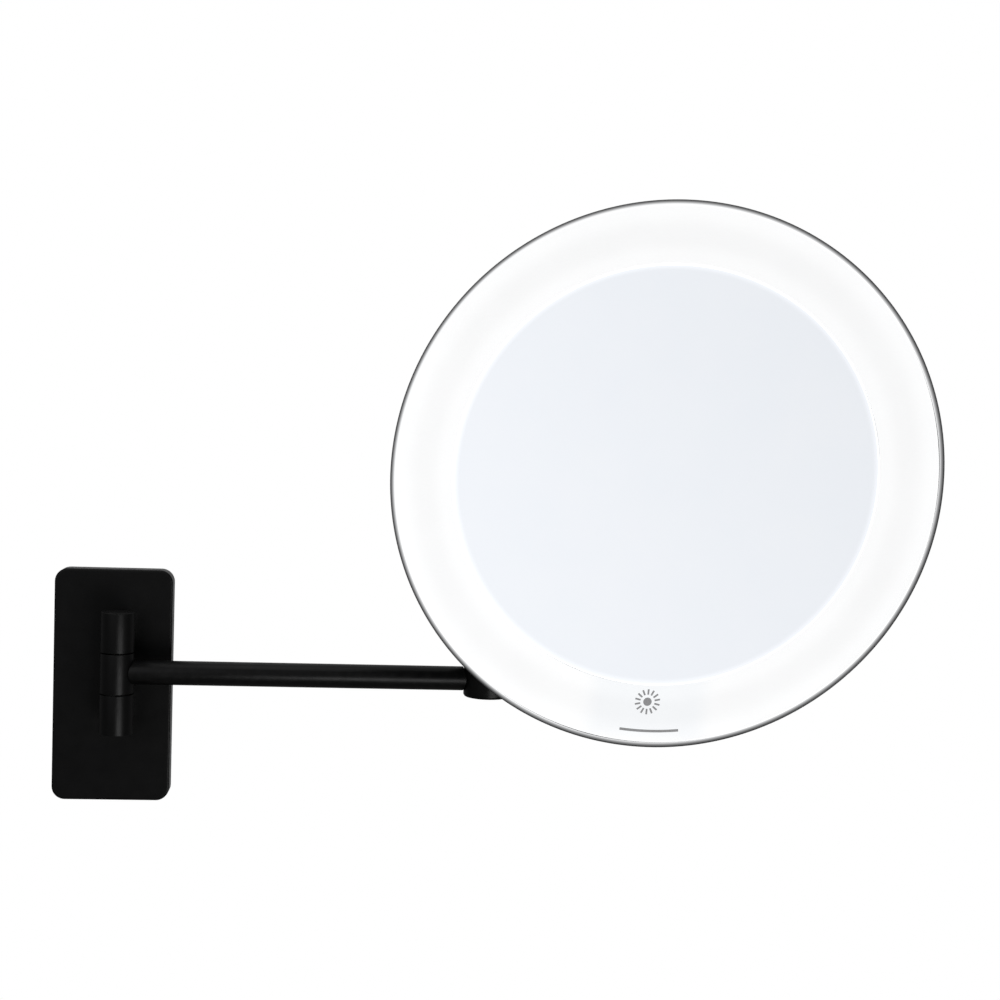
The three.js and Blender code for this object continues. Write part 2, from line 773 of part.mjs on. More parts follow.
// Three bosses that take the shell screws, and two that carry the control board.
const carrierBack = mirrorRecess + 5;
const bossCircle = rimRadius * 0.8;
const bossAt = [30, 150, 270].map((deg) => [
  bossCircle * Math.cos(THREE.MathUtils.degToRad(deg)),
  bossCircle * Math.sin(THREE.MathUtils.degToRad(deg)),
]);
const bossRadius = 4.4;
const screwSeat = headDepth * 0.68;
for (const [x, z] of bossAt) {
  const boss = bar(bossRadius, carrierBack + touchGap, headDepth * 0.85, "y", 0, screwSides);
  shell = shell.add(boss.translate([x, 0, z]));
}
for (const [x, z] of bossAt) {
  const well = bar(3, screwSeat, headDepth + 2, "y", 0, screwSides);
  const shank = bar(1.5 + touchGap, carrierBack - 1, screwSeat + 1, "y", 0, screwSides);
  shell = shell.subtract(well.translate([x, 0, z])).subtract(shank.translate([x, 0, z]));
}
const boardY = headDepth * 0.58;
const boardThick = 1.6;
const boardZ = flangeRadius + 20;
const boardPosts = [-15, 15];
for (const x of boardPosts) {
  const post = bar(2.6, boardY + boardThick + touchGap, shellInner + 0.6, "y", 0, screwSides);
  shell = shell.add(post.translate([x, 0, boardZ]));
}
place(head, "rear_shell", shell, "black");
const shellScrewLength = screwSeat - carrierBack + 1.2;
bossAt.forEach(([x, z], i) => {
  const screw = panScrew(2.6, 1.8, 1.5, shellScrewLength);
  place(head, "shell_screw_" + (i + 1), screw.translate([x, screwSeat + touchGap, z]), "steel");
});
clampAt.forEach(([x, z], i) => {
  const reach = flangeY + flangeThick - 1 - (shellInner - touchGap);
  const screw = panScrew(2.8, 1.6, 1.5, reach).rotate([180, 0, 0]);
  place(head, "bracket_screw_" + (i + 1), screw.translate([x, shellInner - touchGap, z]), "steel");
});

// ---------- light ring, mirror and what carries them ----------
const mirrorRadius = mirrorDia / 2;
const ringOuter = rimInner - touchGap;
const ringInner = mirrorRadius + touchGap;
const ringFront = 0.8;
const ringBackFront = mirrorRecess - 1;
place(
  head,
  "light_ring",
  turned(
    [
      [ringInner, ringBackFront],
      [ringOuter, ringFront],
      [ringOuter, ringFront + ringThick],
      [ringInner, ringBackFront + ringThick],
      [ringInner, ringBackFront],
    ],
    "y",
    headSides,
  ),
  "opal",
);
const glassSteps = [0, 0.4, 0.75, 1];
const dish = (f) => mirrorSag * (1 - f * f);
const front = glassSteps.map((f) => [mirrorRadius * f, mirrorRecess + dish(f)]);
const back = glassSteps
  .slice()
  .reverse()
  .map((f) => [mirrorRadius * f, mirrorRecess + mirrorThick + dish(f)]);
place(head, "mirror_glass", turned(front.concat(back), "y", shellSides), "mirror");

const slope = (ringBackFront - ringFront) / (ringOuter - ringInner);
const ringBackAt = (r) => ringFront + ringThick + (ringOuter - r) * slope;
const filmFrom = ringInner + 2;
const filmTo = ringOuter - 2.5;
const filmThick = 0.5;
let film = turned(
  [
    [filmFrom, ringBackAt(filmFrom) + touchGap],
    [filmTo, ringBackAt(filmTo) + touchGap],
    [filmTo, ringBackAt(filmTo) + touchGap + filmThick],
    [filmFrom, ringBackAt(filmFrom) + touchGap + filmThick],
    [filmFrom, ringBackAt(filmFrom) + touchGap],
  ],
  "y",
  headSides,
);
const filmHalf = 23;
film = film.intersect(box(-filmHalf, filmHalf, 0, headDepth, -rimRadius, -mirrorRadius * 0.8));
place(head, "touch_film", film.rotate([0, -symbolClock, 0]), "steel");

const carrierInner = mirrorRadius * 0.89;
const carrierOuter = rimRadius * 0.9;
const carrierFront = carrierBack - 1.5;
const seatAt = mirrorRecess + mirrorThick + 0.3;
let carrier = turned(
  [
    [carrierInner, mirrorRecess + mirrorThick + dish(0.89) + 0.3],
    [mirrorRadius, seatAt],
    [mirrorRadius + 2.2, seatAt],
    [mirrorRadius + 2.2, carrierFront],
    [carrierOuter, carrierFront],
    [carrierOuter, carrierBack],
    [carrierInner, carrierBack],
    [carrierInner, mirrorRecess + mirrorThick + dish(0.89) + 0.3],
  ],
  "y",
  96,
);
for (const [x, z] of bossAt) {
  const hole = bar(1.5 + 0.1, carrierFront - 3, carrierBack + 1, "y", 0, screwSides);
  carrier = carrier.subtract(hole.translate([x, 0, z]));
}
place(head, "mirror_carrier", carrier, "white");

const ledInner = bossCircle + 3;
const ledOuter = carrierOuter - 0.5;
const ledThick = 1.2;
const ledBack = carrierFront - touchGap;
let leds = washer(ledOuter, ledInner, ledBack - ledThick, ledBack, "y");
const ledCount = 24;
const ledRadius = (ledInner + ledOuter) / 2;
for (let i = 0; i < ledCount; i++) {
  const turn = (360 * i) / ledCount;
  const chip = box(-1.8, 1.8, ledBack - ledThick - 1.2, ledBack - ledThick / 2, -1.4, 1.4);
  leds = leds.add(chip.translate([0, 0, ledRadius]).rotate([0, turn, 0]));
}
place(head, "led_board", leds, "white");

// ---------- control board ----------
let board = box(-20, 20, boardY, boardY + boardThick, boardZ - 11, boardZ + 11);
const boardBack = boardY + boardThick;
board = board.add(box(-6, 6, boardBack - 0.2, boardBack + 1.6, boardZ - 5, boardZ + 4));
board = board.add(box(8.6, 12, boardBack - 0.2, boardBack + 2.4, boardZ - 9, boardZ - 4));
for (const x of boardPosts) {
  const hole = bar(1.2, boardY - 1, boardBack + 4, "y", 0, 12);
  board = board.subtract(hole.translate([x, 0, boardZ]));
}
place(head, "control_board", board, "board");

// ---------- batteries, tray, contacts, door ----------
const trayFloor = cellDepth - cellDia / 2 - cellClear - trayWall;
let tray = box(-trayHalf, trayHalf, trayFloor, shellInner - touchGap, trayBottom, trayTop);
tray = tray.subtract(
  box(
    -trayHalf + trayWall,
    trayHalf - trayWall,
    trayFloor + trayWall,
    headDepth,
    trayBottom + trayWall,
    trayTop - trayWall,
  ),
);
place(head, "battery_tray", tray, "plastic");
cellRows.forEach((z, i) => {
  const nub = 1;
  const length = cellLength - 1.2;
  const cell = turned(
    [
      [0, -length / 2],
      [cellDia / 2 - 0.5, -length / 2],
      [cellDia / 2, -length / 2 + 0.5],
      [cellDia / 2, length / 2 - nub - 0.5],
      [cellDia / 2 - 0.5, length / 2 - nub],
      [1.9, length / 2 - nub],
      [1.9, length / 2],
      [0, length / 2],
    ],
    "x",
    20,
  );
  const facing = i % 2 ? cell.rotate([0, 180, 0]) : cell;
  place(head, "battery_" + (i + 1), facing.translate([0, cellDepth, z]), "cell");
});
for (const side of [-1, 1]) {
  const wallAt = trayHalf - trayWall - 0.1;
  const near = cellLength / 2 - 0.35;
  const plateAt = wallAt - 0.4;
  let contact = box(
    side > 0 ? plateAt : -wallAt,
    side > 0 ? wallAt : -plateAt,
    cellDepth - 4,
    cellDepth + 4,
    cellRows[2] - 4,
    cellRows[0] + 4,
  );
  for (const z of cellRows) {
    const dome = turned(
      [
        [0, near],
        [1.1, near],
        [2.6, plateAt + 0.2],
        [0, plateAt + 0.2],
      ],
      "x",
      12,
    );
    const facing = side > 0 ? dome : dome.rotate([0, 180, 0]);
    contact = contact.add(facing.translate([0, cellDepth, z]));
  }
  place(head, side > 0 ? "contact_right" : "contact_left", contact, "brass");
}
let door = slab(doorWidth, doorHeight, doorCorner, shellInner, headDepth);
const doorGrips = [-1, 0, 1].map((i) => i * 3);
for (const z of doorGrips) {
  door = door.subtract(box(-8, 8, headDepth - 0.6, headDepth + 1, z - 0.6, z + 0.6));
}
place(head, "battery_door", door.translate([0, 0, doorZ]), "black");

export default root;
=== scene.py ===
import json
import math

import bmesh
import bpy
from mathutils import Matrix, Vector


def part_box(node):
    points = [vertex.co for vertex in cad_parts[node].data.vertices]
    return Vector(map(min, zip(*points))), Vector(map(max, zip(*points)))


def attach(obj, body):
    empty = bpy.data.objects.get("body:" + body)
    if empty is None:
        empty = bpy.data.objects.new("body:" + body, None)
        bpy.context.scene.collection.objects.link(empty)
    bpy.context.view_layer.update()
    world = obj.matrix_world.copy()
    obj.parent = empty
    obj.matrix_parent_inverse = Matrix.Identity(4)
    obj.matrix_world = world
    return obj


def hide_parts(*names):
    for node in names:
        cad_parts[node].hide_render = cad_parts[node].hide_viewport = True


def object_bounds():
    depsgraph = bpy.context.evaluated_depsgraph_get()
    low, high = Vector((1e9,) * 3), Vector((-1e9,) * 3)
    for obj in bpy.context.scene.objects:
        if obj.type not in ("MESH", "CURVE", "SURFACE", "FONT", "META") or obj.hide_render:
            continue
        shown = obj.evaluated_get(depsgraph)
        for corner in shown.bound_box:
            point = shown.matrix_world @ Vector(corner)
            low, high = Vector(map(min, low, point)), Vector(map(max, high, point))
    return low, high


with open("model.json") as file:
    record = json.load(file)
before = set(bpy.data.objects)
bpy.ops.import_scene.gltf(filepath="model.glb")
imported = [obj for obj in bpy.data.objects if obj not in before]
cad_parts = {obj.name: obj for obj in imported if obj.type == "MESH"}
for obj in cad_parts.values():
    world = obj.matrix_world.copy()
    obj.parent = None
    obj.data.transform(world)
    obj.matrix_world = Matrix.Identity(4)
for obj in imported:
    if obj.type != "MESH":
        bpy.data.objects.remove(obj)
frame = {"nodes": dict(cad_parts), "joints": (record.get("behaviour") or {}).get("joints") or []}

cad_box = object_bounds()
MM = 0.001
NODES = frame["nodes"]
JOINTS = {joint["name"]: joint for joint in frame["joints"]}

# ---------- camera ----------
CAMERA_PLACE = Vector((0.1083, -0.7433, 0.1259))
CAMERA_YAW = math.radians(4.389)  # to the right of straight at the wall
CAMERA_PITCH = math.radians(-3.243)
CAMERA_ROLL = math.radians(1.777)
CAMERA_LENS = 61.2  # for a 36 mm sensor


def add_camera():
    forward = Vector((
        math.sin(CAMERA_YAW) * math.cos(CAMERA_PITCH),
        math.cos(CAMERA_YAW) * math.cos(CAMERA_PITCH),
        math.sin(CAMERA_PITCH),
    ))
    level = Vector((math.cos(CAMERA_YAW), -math.sin(CAMERA_YAW), 0))
    upright = level.cross(forward)
    right = math.cos(CAMERA_ROLL) * level + math.sin(CAMERA_ROLL) * upright
    up = math.cos(CAMERA_ROLL) * upright - math.sin(CAMERA_ROLL) * level
    data = bpy.data.cameras.new("camera")
    data.lens = CAMERA_LENS
    data.sensor_width = 36
    data.clip_start = 0.02
    data.clip_end = 60
    camera = bpy.data.objects.new("camera", data)
    bpy.context.scene.collection.objects.link(camera)
    turn = Matrix((right, up, -forward)).transposed().to_4x4()
    camera.matrix_world = Matrix.Translation(CAMERA_PLACE) @ turn
    bpy.context.scene.camera = camera


add_camera()
bpy.context.scene.view_settings.view_transform = "Standard"

# ---------- the head's own frame ----------
# Origin at the middle of the rim's front plane, +X along the tilt axis, +Y backwards, +Z up.


def vertices(node):
    return [v.co for v in NODES[node].data.vertices]


def head_frame():
    across = Vector(JOINTS["head_tilt"]["axis"]).normalized()
    back = Vector(JOINTS["battery_door_off"]["axis"]).normalized()
    up = across.cross(back)
    pivot = Vector(JOINTS["head_tilt"]["pos_m"])
    front = min((co - pivot).dot(back) for co in vertices("front_rim"))
    turn = Matrix((across, back, up)).transposed().to_4x4()
    return Matrix.Translation(pivot + back * front) @ turn


HEAD = head_frame()
TO_HEAD = HEAD.inverted()


def spread(node, matrix=TO_HEAD):
    """Lowest and highest corner of a node in the frame that matrix leads to."""
    points = [matrix @ co for co in vertices(node)]
    low = Vector([min(p[i] for p in points) for i in range(3)])
    high = Vector([max(p[i] for p in points) for i in range(3)])
    return low, high


def middle(corners):
    return (corners[0] + corners[1]) / 2


def radii(node, axis=1, matrix=TO_HEAD, centre=(0, 0, 0)):
    """Smallest and largest distance of a node's corners from an axis."""
    found = []
    for co in vertices(node):
        p = matrix @ co - Vector(centre)
        p[axis] = 0
        found.append(p.length)
    return min(found), max(found)


# ---------- materials ----------
class Graph:
    """A material's node tree with short names for the nodes used here."""

    def __init__(self, name, home=None):
        self.material = bpy.data.materials.new(name)
        self.material.use_nodes = True
        self.tree = self.material.node_tree
        self.shader = self.tree.nodes["Principled BSDF"]
        self.place = self.node("ShaderNodeTexCoord").outputs["Object"]
        if home:
            inside = self.node("ShaderNodeMapping")
            self.put(inside.inputs["Vector"], self.place)
            back = home.inverted()
            inside.inputs["Location"].default_value = back.to_translation()
            inside.inputs["Rotation"].default_value = back.to_euler()
            self.place = inside.outputs[0]

    def node(self, kind, **settings):
        made = self.tree.nodes.new(kind)
        for key, value in settings.items():
            setattr(made, key, value)
        return made

    def put(self, socket, value):
        if isinstance(value, bpy.types.NodeSocket):
            self.tree.links.new(value, socket)
        else:
            socket.default_value = value

    def noise(self, size, detail=3, roughness=0.55, place=None):
        """Noise from 0 to 1 whose features are about size metres across."""
        made = self.node("ShaderNodeTexNoise")
        self.put(made.inputs["Vector"], place or self.place)
        made.inputs["Scale"].default_value = 1 / size
        made.inputs["Detail"].default_value = detail
        made.inputs["Roughness"].default_value = roughness
        return made.outputs["Fac"]

    def stretch(self, scale):
        made = self.node("ShaderNodeVectorMath", operation="MULTIPLY")
        self.put(made.inputs[0], self.place)
        made.inputs[1].default_value = scale
        return made.outputs[0]

    def span(self, value, low, high, to_low=0.0, to_high=1.0, smooth=False):
        kind = "SMOOTHSTEP" if smooth else "LINEAR"
        made = self.node("ShaderNodeMapRange", interpolation_type=kind)
        self.put(made.inputs["Value"], value)
        made.inputs["From Min"].default_value = low
        made.inputs["From Max"].default_value = high
        made.inputs["To Min"].default_value = to_low
        made.inputs["To Max"].default_value = to_high
        return made.outputs["Result"]

    def math(self, operation, a, b=0.0):
        made = self.node("ShaderNodeMath", operation=operation)
        self.put(made.inputs[0], a)
        self.put(made.inputs[1], b)
        return made.outputs[0]

    def mix(self, share, a, b):
        made = self.node("ShaderNodeMix", data_type="RGBA")
        self.put(made.inputs["Factor"], share)
        self.put(made.inputs["A"], a if isinstance(a, bpy.types.NodeSocket) else (*a, 1))
        self.put(made.inputs["B"], b if isinstance(b, bpy.types.NodeSocket) else (*b, 1))
        return made.outputs["Result"]

    def edges(self, low=0.52, high=0.62):
        """1 on outer edges, where a coat wears first."""
        made = self.node("ShaderNodeNewGeometry")
        return self.span(made.outputs["Pointiness"], low, high)

    def parts(self):
        made = self.node("ShaderNodeSeparateXYZ")
        self.put(made.inputs[0], self.place)
        return made.outputs

    def radius(self):
        """Distance from the head's axis."""
        x, _, z = self.parts()
        return self.math("SQRT", self.math("ADD", self.math("MULTIPLY", x, x), self.math("MULTIPLY", z, z)))

    def bump(self, height, depth, strength=1.0):
        made = self.node("ShaderNodeBump")
        self.put(made.inputs["Height"], height)
        made.inputs["Distance"].default_value = depth
        made.inputs["Strength"].default_value = strength
        self.put(self.shader.inputs["Normal"], made.outputs["Normal"])

    def set(self, **values):
        for key, value in values.items():
            socket = self.shader.inputs[key.replace("_", " ")]
            if isinstance(value, tuple) and len(value) == 3:
                value = (*value, 1)
            self.put(socket, value)


def coated(name, colour, worn, roughness, grain, depth, specular=0.5, metallic=0.0, wear=0.35):
    """A coat or moulding: two near tones, fine grain, mottled gloss and slightly worn edges."""
    g = Graph(name)
    tone = g.noise(14 * MM, 4)
    deep = tuple(c * 0.8 for c in colour)
    base = g.mix(g.span(tone, 0.3, 0.7), deep, colour)
    scuff = g.math("MULTIPLY", g.edges(), g.span(g.noise(3 * MM, 5), 0.42, 0.72, 0, wear))
    g.set(Base_Color=g.mix(scuff, base, worn))
    gloss = g.span(g.noise(5 * MM, 4), 0.3, 0.7, roughness - 0.035, roughness + 0.035)
    g.set(Roughness=gloss, Metallic=metallic)
    g.shader.inputs["Specular IOR Level"].default_value = specular
    g.bump(g.noise(grain, 2), depth)
    return g.material


def brushed(name, colour, dark, roughness, stretch, depth=2e-6, metallic=1.0):
    """Bare metal with fine lines along one direction and a little tarnish."""
    g = Graph(name)
    lines = g.noise(1.0, 4, 0.6, g.stretch(stretch))
    stain = g.span(g.noise(4 * MM, 4), 0.35, 0.75)
    g.set(Base_Color=g.mix(g.math("MULTIPLY", stain, 0.5), colour, dark), Metallic=metallic)
    g.set(Roughness=g.span(lines, 0.3, 0.7, roughness - 0.08, roughness + 0.1))
    g.bump(lines, depth)
    return g.material


def rim_coat_with_painted_glow(outer, inner):
    """Satin black rim. The ring's light bleeding over it is painted: emission and a paler base colour on
    the rim's front, rising from nothing at its outer edge to full at its inner edge, most of it over the
    inner half.
    """
    g = Graph("rim_coat_with_painted_glow", HEAD)
    speck = g.noise(6 * MM, 4)
    base = g.mix(g.span(speck, 0.3, 0.7), (0.016, 0.016, 0.017), (0.024, 0.024, 0.025))
    _, depth, _ = g.parts()
    facing = g.span(depth, 6.0 * MM, 3.0 * MM)
    # painted glow: the ring's light on the rim is painted in as emission and a paler base colour, strongest
    # at the inner edge
    painted_bleed = g.math("MULTIPLY", g.span(g.radius(), outer - 0.1 * MM, inner), facing)
    g.set(Base_Color=g.mix(painted_bleed, base, (0.05, 0.05, 0.05)))
    g.set(Roughness=g.span(g.noise(3 * MM, 3), 0.3, 0.7, 0.3, 0.4))
    glow = g.math("MULTIPLY", g.math("POWER", painted_bleed, 2.1), 0.84)
    g.set(Emission_Color=g.mix(speck, (0.97, 0.98, 1.0), (1.0, 1.0, 1.0)), Emission_Strength=glow)
    g.bump(g.noise(0.35 * MM, 2), 8e-6)
    return g.material


RING_LEVEL = 0.808
WINDOW_WIDE = 24 * MM  # half the width of the window of painted shade round the symbol
WINDOW_HALF = 14 * MM  # half its height
# how far the painted shade dims the ring's glow in the window round the symbol
WINDOW_PAINTED_SHADE = 0.035


def opal_glow_with_painted_shade(outer, inner, symbol):
    """Opal diffuser lit from behind: even white, a fainter band mid-way, and round the symbol a dimmer
    window of painted shade.
    """
    g = Graph("opal_glow_with_painted_shade", HEAD)
    x, _, z = g.parts()
    share = g.span(g.radius(), inner, outer)
    rise = g.span(share, 0.12, 0.42, 1.0, 0.95, smooth=True)
    fall = g.span(share, 0.55, 0.9, 0.0, 0.06, smooth=True)
    level = g.math("ADD", rise, fall)
    # painted shade: the glow is dimmer and a little bluer in a window round the symbol, standing in for the
    # shade of parts behind the diffuser
    off_x = g.math("ABSOLUTE", g.math("SUBTRACT", x, symbol.x))
    off_z = g.math("ABSOLUTE", g.math("SUBTRACT", z, symbol.z + 0.5 * MM))
    window_x = g.span(off_x, 0.72 * WINDOW_WIDE, 1.12 * WINDOW_WIDE, 1.0, 0.0, smooth=True)
    window_z = g.span(off_z, 0.75 * WINDOW_HALF, 1.25 * WINDOW_HALF, 1.0, 0.0, smooth=True)
    painted_window_shade = g.math("MULTIPLY", window_x, window_z)
    level = g.math("SUBTRACT", level, g.math("MULTIPLY", painted_window_shade, WINDOW_PAINTED_SHADE))
    haze = g.span(g.noise(18 * MM, 3), 0.3, 0.7, 0.985, 1.005)
    level = g.math("MULTIPLY", level, haze)
    tint = g.mix(painted_window_shade, (0.995, 0.998, 1.0), (0.96, 0.98, 1.0))
    g.set(Base_Color=(0.3, 0.3, 0.3), Emission_Color=tint)
    g.set(Emission_Strength=g.math("MULTIPLY", level, RING_LEVEL))
    g.set(Roughness=g.span(g.noise(4 * MM, 3), 0.3, 0.7, 0.42, 0.52))
    g.shader.inputs["Specular IOR Level"].default_value = 0.3
    g.bump(g.noise(0.5 * MM, 2), 5e-6)
    return g.material


def mirror_with_painted_edge_glow(radius):
    """Silvered glass: bright metal in front, with a faint haze, a painted glow at its edge and a grey
    painted back.
    """
    g = Graph("mirror_with_painted_edge_glow", HEAD)
    reach = g.radius()
    # share of the painted edge glow over the outer 3 % of the glass
    edge = g.span(reach, radius * 0.968, radius, 0.0, 1.0, smooth=True)
    haze = g.noise(30 * MM, 4)
    silver = g.mix(g.span(haze, 0.3, 0.7), (0.925, 0.95, 0.975), (0.94, 0.96, 0.98))
    normal = g.node("ShaderNodeNewGeometry")
    local = g.node("ShaderNodeVectorTransform", vector_type="NORMAL",
                   convert_from="WORLD", convert_to="OBJECT")
    g.put(local.inputs[0], normal.outputs["Normal"])
    facing = g.node("ShaderNodeVectorMath", operation="DOT_PRODUCT")
    g.put(facing.inputs[0], local.outputs[0])
    facing.inputs[1].default_value = HEAD.to_3x3().col[1]
    behind = g.span(facing.outputs["Value"], 0.2, 0.5)
    g.set(Base_Color=g.mix(behind, silver, (0.12, 0.125, 0.13)))
    g.set(Metallic=g.math("SUBTRACT", 1.0, behind))
    smear = g.span(g.noise(9 * MM, 5), 0.35, 0.75, 0.02, 0.06)
    g.set(Roughness=g.math("ADD", smear, g.math("MULTIPLY", behind, 0.5)))
    # painted glow at the edge: emission up to 0.12 over the outer 3 %, rising to 0.87 in the outermost 0.4
    # mm, in place of the ring's light on the glass's edge
    painted_edge_glow = g.span(reach, radius - 0.4 * MM, radius - 0.2 * MM, 0.0, 0.75, smooth=True)
    lit = g.math("ADD", g.math("MULTIPLY", edge, 0.12), painted_edge_glow)
    glow = g.math("MULTIPLY", lit, g.math("SUBTRACT", 1.0, behind))
    g.set(Emission_Color=(0.96, 0.98, 1.0), Emission_Strength=glow)
    return g.material


def ink_with_painted_glow():
    g = Graph("ink_with_painted_glow")
    mottle = g.span(g.noise(0.6 * MM, 3), 0.3, 0.7)
    g.set(Base_Color=g.mix(mottle, (0.13, 0.13, 0.13), (0.19, 0.19, 0.19)))
    g.set(Roughness=g.span(g.noise(1 * MM, 2), 0.3, 0.7, 0.5, 0.62))
    # painted glow: the grey ink gives off light, standing in for the ring's light shining through the print
    g.set(Emission_Color=(0.16, 0.16, 0.165), Emission_Strength=0.95)
    g.bump(g.noise(0.2 * MM, 2), 4e-6)
    return g.material


def board_finish(name, resist, trace, pitch):
    """A printed board: solder resist over faint copper tracks, with mottled gloss."""
    g = Graph(name)
    wave = g.node("ShaderNodeTexWave", wave_type="BANDS", bands_direction="DIAGONAL")
    g.put(wave.inputs["Vector"], g.place)
    wave.inputs["Scale"].default_value = 0.3 / pitch
    wave.inputs["Distortion"].default_value = 3.0
    tracks = g.span(wave.outputs["Fac"], 0.62, 0.7)
    shade = g.span(g.noise(6 * MM, 3), 0.3, 0.7, 0, 0.5)
    g.set(Base_Color=g.mix(g.math("MULTIPLY", tracks, shade), resist, trace))
    g.set(Roughness=g.span(g.noise(2 * MM, 3), 0.3, 0.7, 0.3, 0.45))
    g.bump(tracks, 1.5e-5)
    return g.material


def cell_finish(length_axis):
    """A plain sleeved cell: coloured jacket with a paler band at one end."""
    g = Graph("cell_finish", HEAD)
    band = g.span(g.parts()[length_axis], 11 * MM, 11.5 * MM)
    shade = g.span(g.noise(7 * MM, 3), 0.3, 0.7)
    jacket = g.mix(shade, (0.035, 0.10, 0.22), (0.05, 0.13, 0.27))
    g.set(Base_Color=g.mix(band, jacket, (0.55, 0.57, 0.6)), Metallic=0.35)
    g.set(Roughness=g.span(g.noise(3 * MM, 3), 0.3, 0.7, 0.28, 0.4))
    g.bump(g.noise(1.2 * MM, 2), 6e-6)
    return g.material


# ---------- mesh helpers ----------
ROUND = 128


def fillet(corners, steps=5):
    """(r, h) points of a profile from (r, h, corner radius) corners. The ends keep their corners."""
    out = []
    for i, (r, h, ease) in enumerate(corners):
        if ease <= 0 or i in (0, len(corners) - 1):
            out.append((r, h))
            continue
        here = Vector((r, h))
        before = Vector(corners[i - 1][:2]) - here
        after = Vector(corners[i + 1][:2]) - here
        half = before.angle(after) / 2
        back = min(ease / math.tan(half), before.length * 0.49, after.length * 0.49)
        start = here + before.normalized() * back
        end = here + after.normalized() * back
        for k in range(steps + 1):
            t = k / steps
            point = (1 - t) ** 2 * start + 2 * t * (1 - t) * here + t * t * end
            out.append((point.x, point.y))
    return out


def shade(mesh, sharp=32):
    """Smooth faces, with edges over sharp degrees kept crisp."""
    bm = bmesh.new()
    bm.from_mesh(mesh)
    bmesh.ops.remove_doubles(bm, verts=bm.verts, dist=1e-7)
    bmesh.ops.recalc_face_normals(bm, faces=bm.faces)
    for face in bm.faces:
        face.smooth = True
    for edge in bm.edges:
        edge.smooth = len(edge.link_faces) == 2 and edge.calc_face_angle(0) < math.radians(sharp)
    bm.to_mesh(mesh)
    bm.free()


def piece(name, points, faces, matrix=None):
    mesh = bpy.data.meshes.new(name)
    mesh.from_pydata(points, [], faces)
    if matrix:
        mesh.transform(matrix)
    shade(mesh)
    made = bpy.data.objects.new(name, mesh)
    bpy.context.scene.collection.objects.link(made)
    return made


def on_axis(axis, a, b, h):
    """A point with a and b across and h along the axis named."""
    return {"x": (h, a, b), "y": (a, h, b), "z": (a, b, h)}[axis]


def lathe(name, profile, axis="z", matrix=None, sides=ROUND):
    """A solid of revolution. The profile runs from the axis to the axis, or closes on itself."""
    closed = profile[0][0] > 1e-9
    points = []
    rings = []
    for r, h in profile:
        if r < 1e-9:
            rings.append([len(points)])
            points.append(on_axis(axis, 0, 0, h))
            continue
        ring = []
        for k in range(sides):
            turn = 2 * math.pi * k / sides
            ring.append(len(points))
            points.append(on_axis(axis, r * math.cos(turn), r * math.sin(turn), h))
        rings.append(ring)
    faces = []
    pairs = list(zip(rings, rings[1:]))
    if closed:
        pairs.append((rings[-1], rings[0]))
    for one, two in pairs:
        for k in range(sides):
            quad = [one[k % len(one)], one[(k + 1) % len(one)], two[(k + 1) % len(two)], two[k % len(two)]]
            quad = list(dict.fromkeys(quad))
            if len(quad) > 2:
                faces.append(quad)
    return piece(name, points, faces, matrix)


def tube_rings(name, rings, matrix=None):
    """A closed solid skinned over rings of points, with flat ends."""
    count = len(rings[0])
    points = [p for ring in rings for p in ring]
    faces = []
    for i in range(len(rings) - 1):
        for k in range(count):
            a = i * count + k
            b = i * count + (k + 1) % count
            faces.append([a, b, b + count, a + count])
    faces.append(list(range(count)))
    faces.append(list(range(len(points) - count, len(points))))
    return piece(name, points, faces, matrix)


def slab_outline(width, height, corner, steps=10):
    corner = max(corner, 0.05 * MM)
    out = []
    for quarter, (sx, sz) in enumerate([(1, 1), (-1, 1), (-1, -1), (1, -1)]):
        for k in range(steps + 1):
            turn = math.pi / 2 * (quarter + k / steps)
            x = sx * (width / 2 - corner) + corner * math.cos(turn)
            z = sz * (height / 2 - corner) + corner * math.sin(turn)
            out.append((x, z))
    return out


def slab(name, width, height, corner, stages, centre=(0, 0, 0), matrix=None):
    """A rounded rectangle standing in XZ, skinned over (inset, y) stages."""
    rings = []
    for inset, y in stages:
        outline = slab_outline(width - 2 * inset, height - 2 * inset, corner - inset)
        rings.append([(x + centre[0], y + centre[1], z + centre[2]) for x, z in outline])
    return tube_rings(name, rings, matrix)


def check_closed(name, mesh):
    """Stops the script where a cut or join has left a mesh empty or open."""
    bm = bmesh.new()
    bm.from_mesh(mesh)
    open_edges = sum(1 for edge in bm.edges if len(edge.link_faces) != 2)
    empty = not bm.faces
    bm.free()
    if empty or open_edges:
        raise RuntimeError("%s: empty %s, open edges %d" % (name, empty, open_edges))


def boolean(target, tools, operation):
    """target joined to, or cut by, tools, which are used up."""
    for tool in tools:
        step = target.modifiers.new("step", "BOOLEAN")
        step.operation = operation
        step.solver = "EXACT"
        step.object = tool
        bpy.context.view_layer.update()
        graph = bpy.context.evaluated_depsgraph_get()
        mesh = bpy.data.meshes.new_from_object(target.evaluated_get(graph))
        target.modifiers.remove(step)
        target.data = mesh
        bpy.data.objects.remove(tool)
        check_closed(target.name, mesh)
    shade(target.data)
    return target


def finish(made, material, slot, body, *nodes):
    """Gives a piece its material and body, and hides the nodes it stands for. slot is not used."""
    made.data.materials.clear()
    made.data.materials.append(material)
    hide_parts(*nodes)
    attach(made, body)
    return made


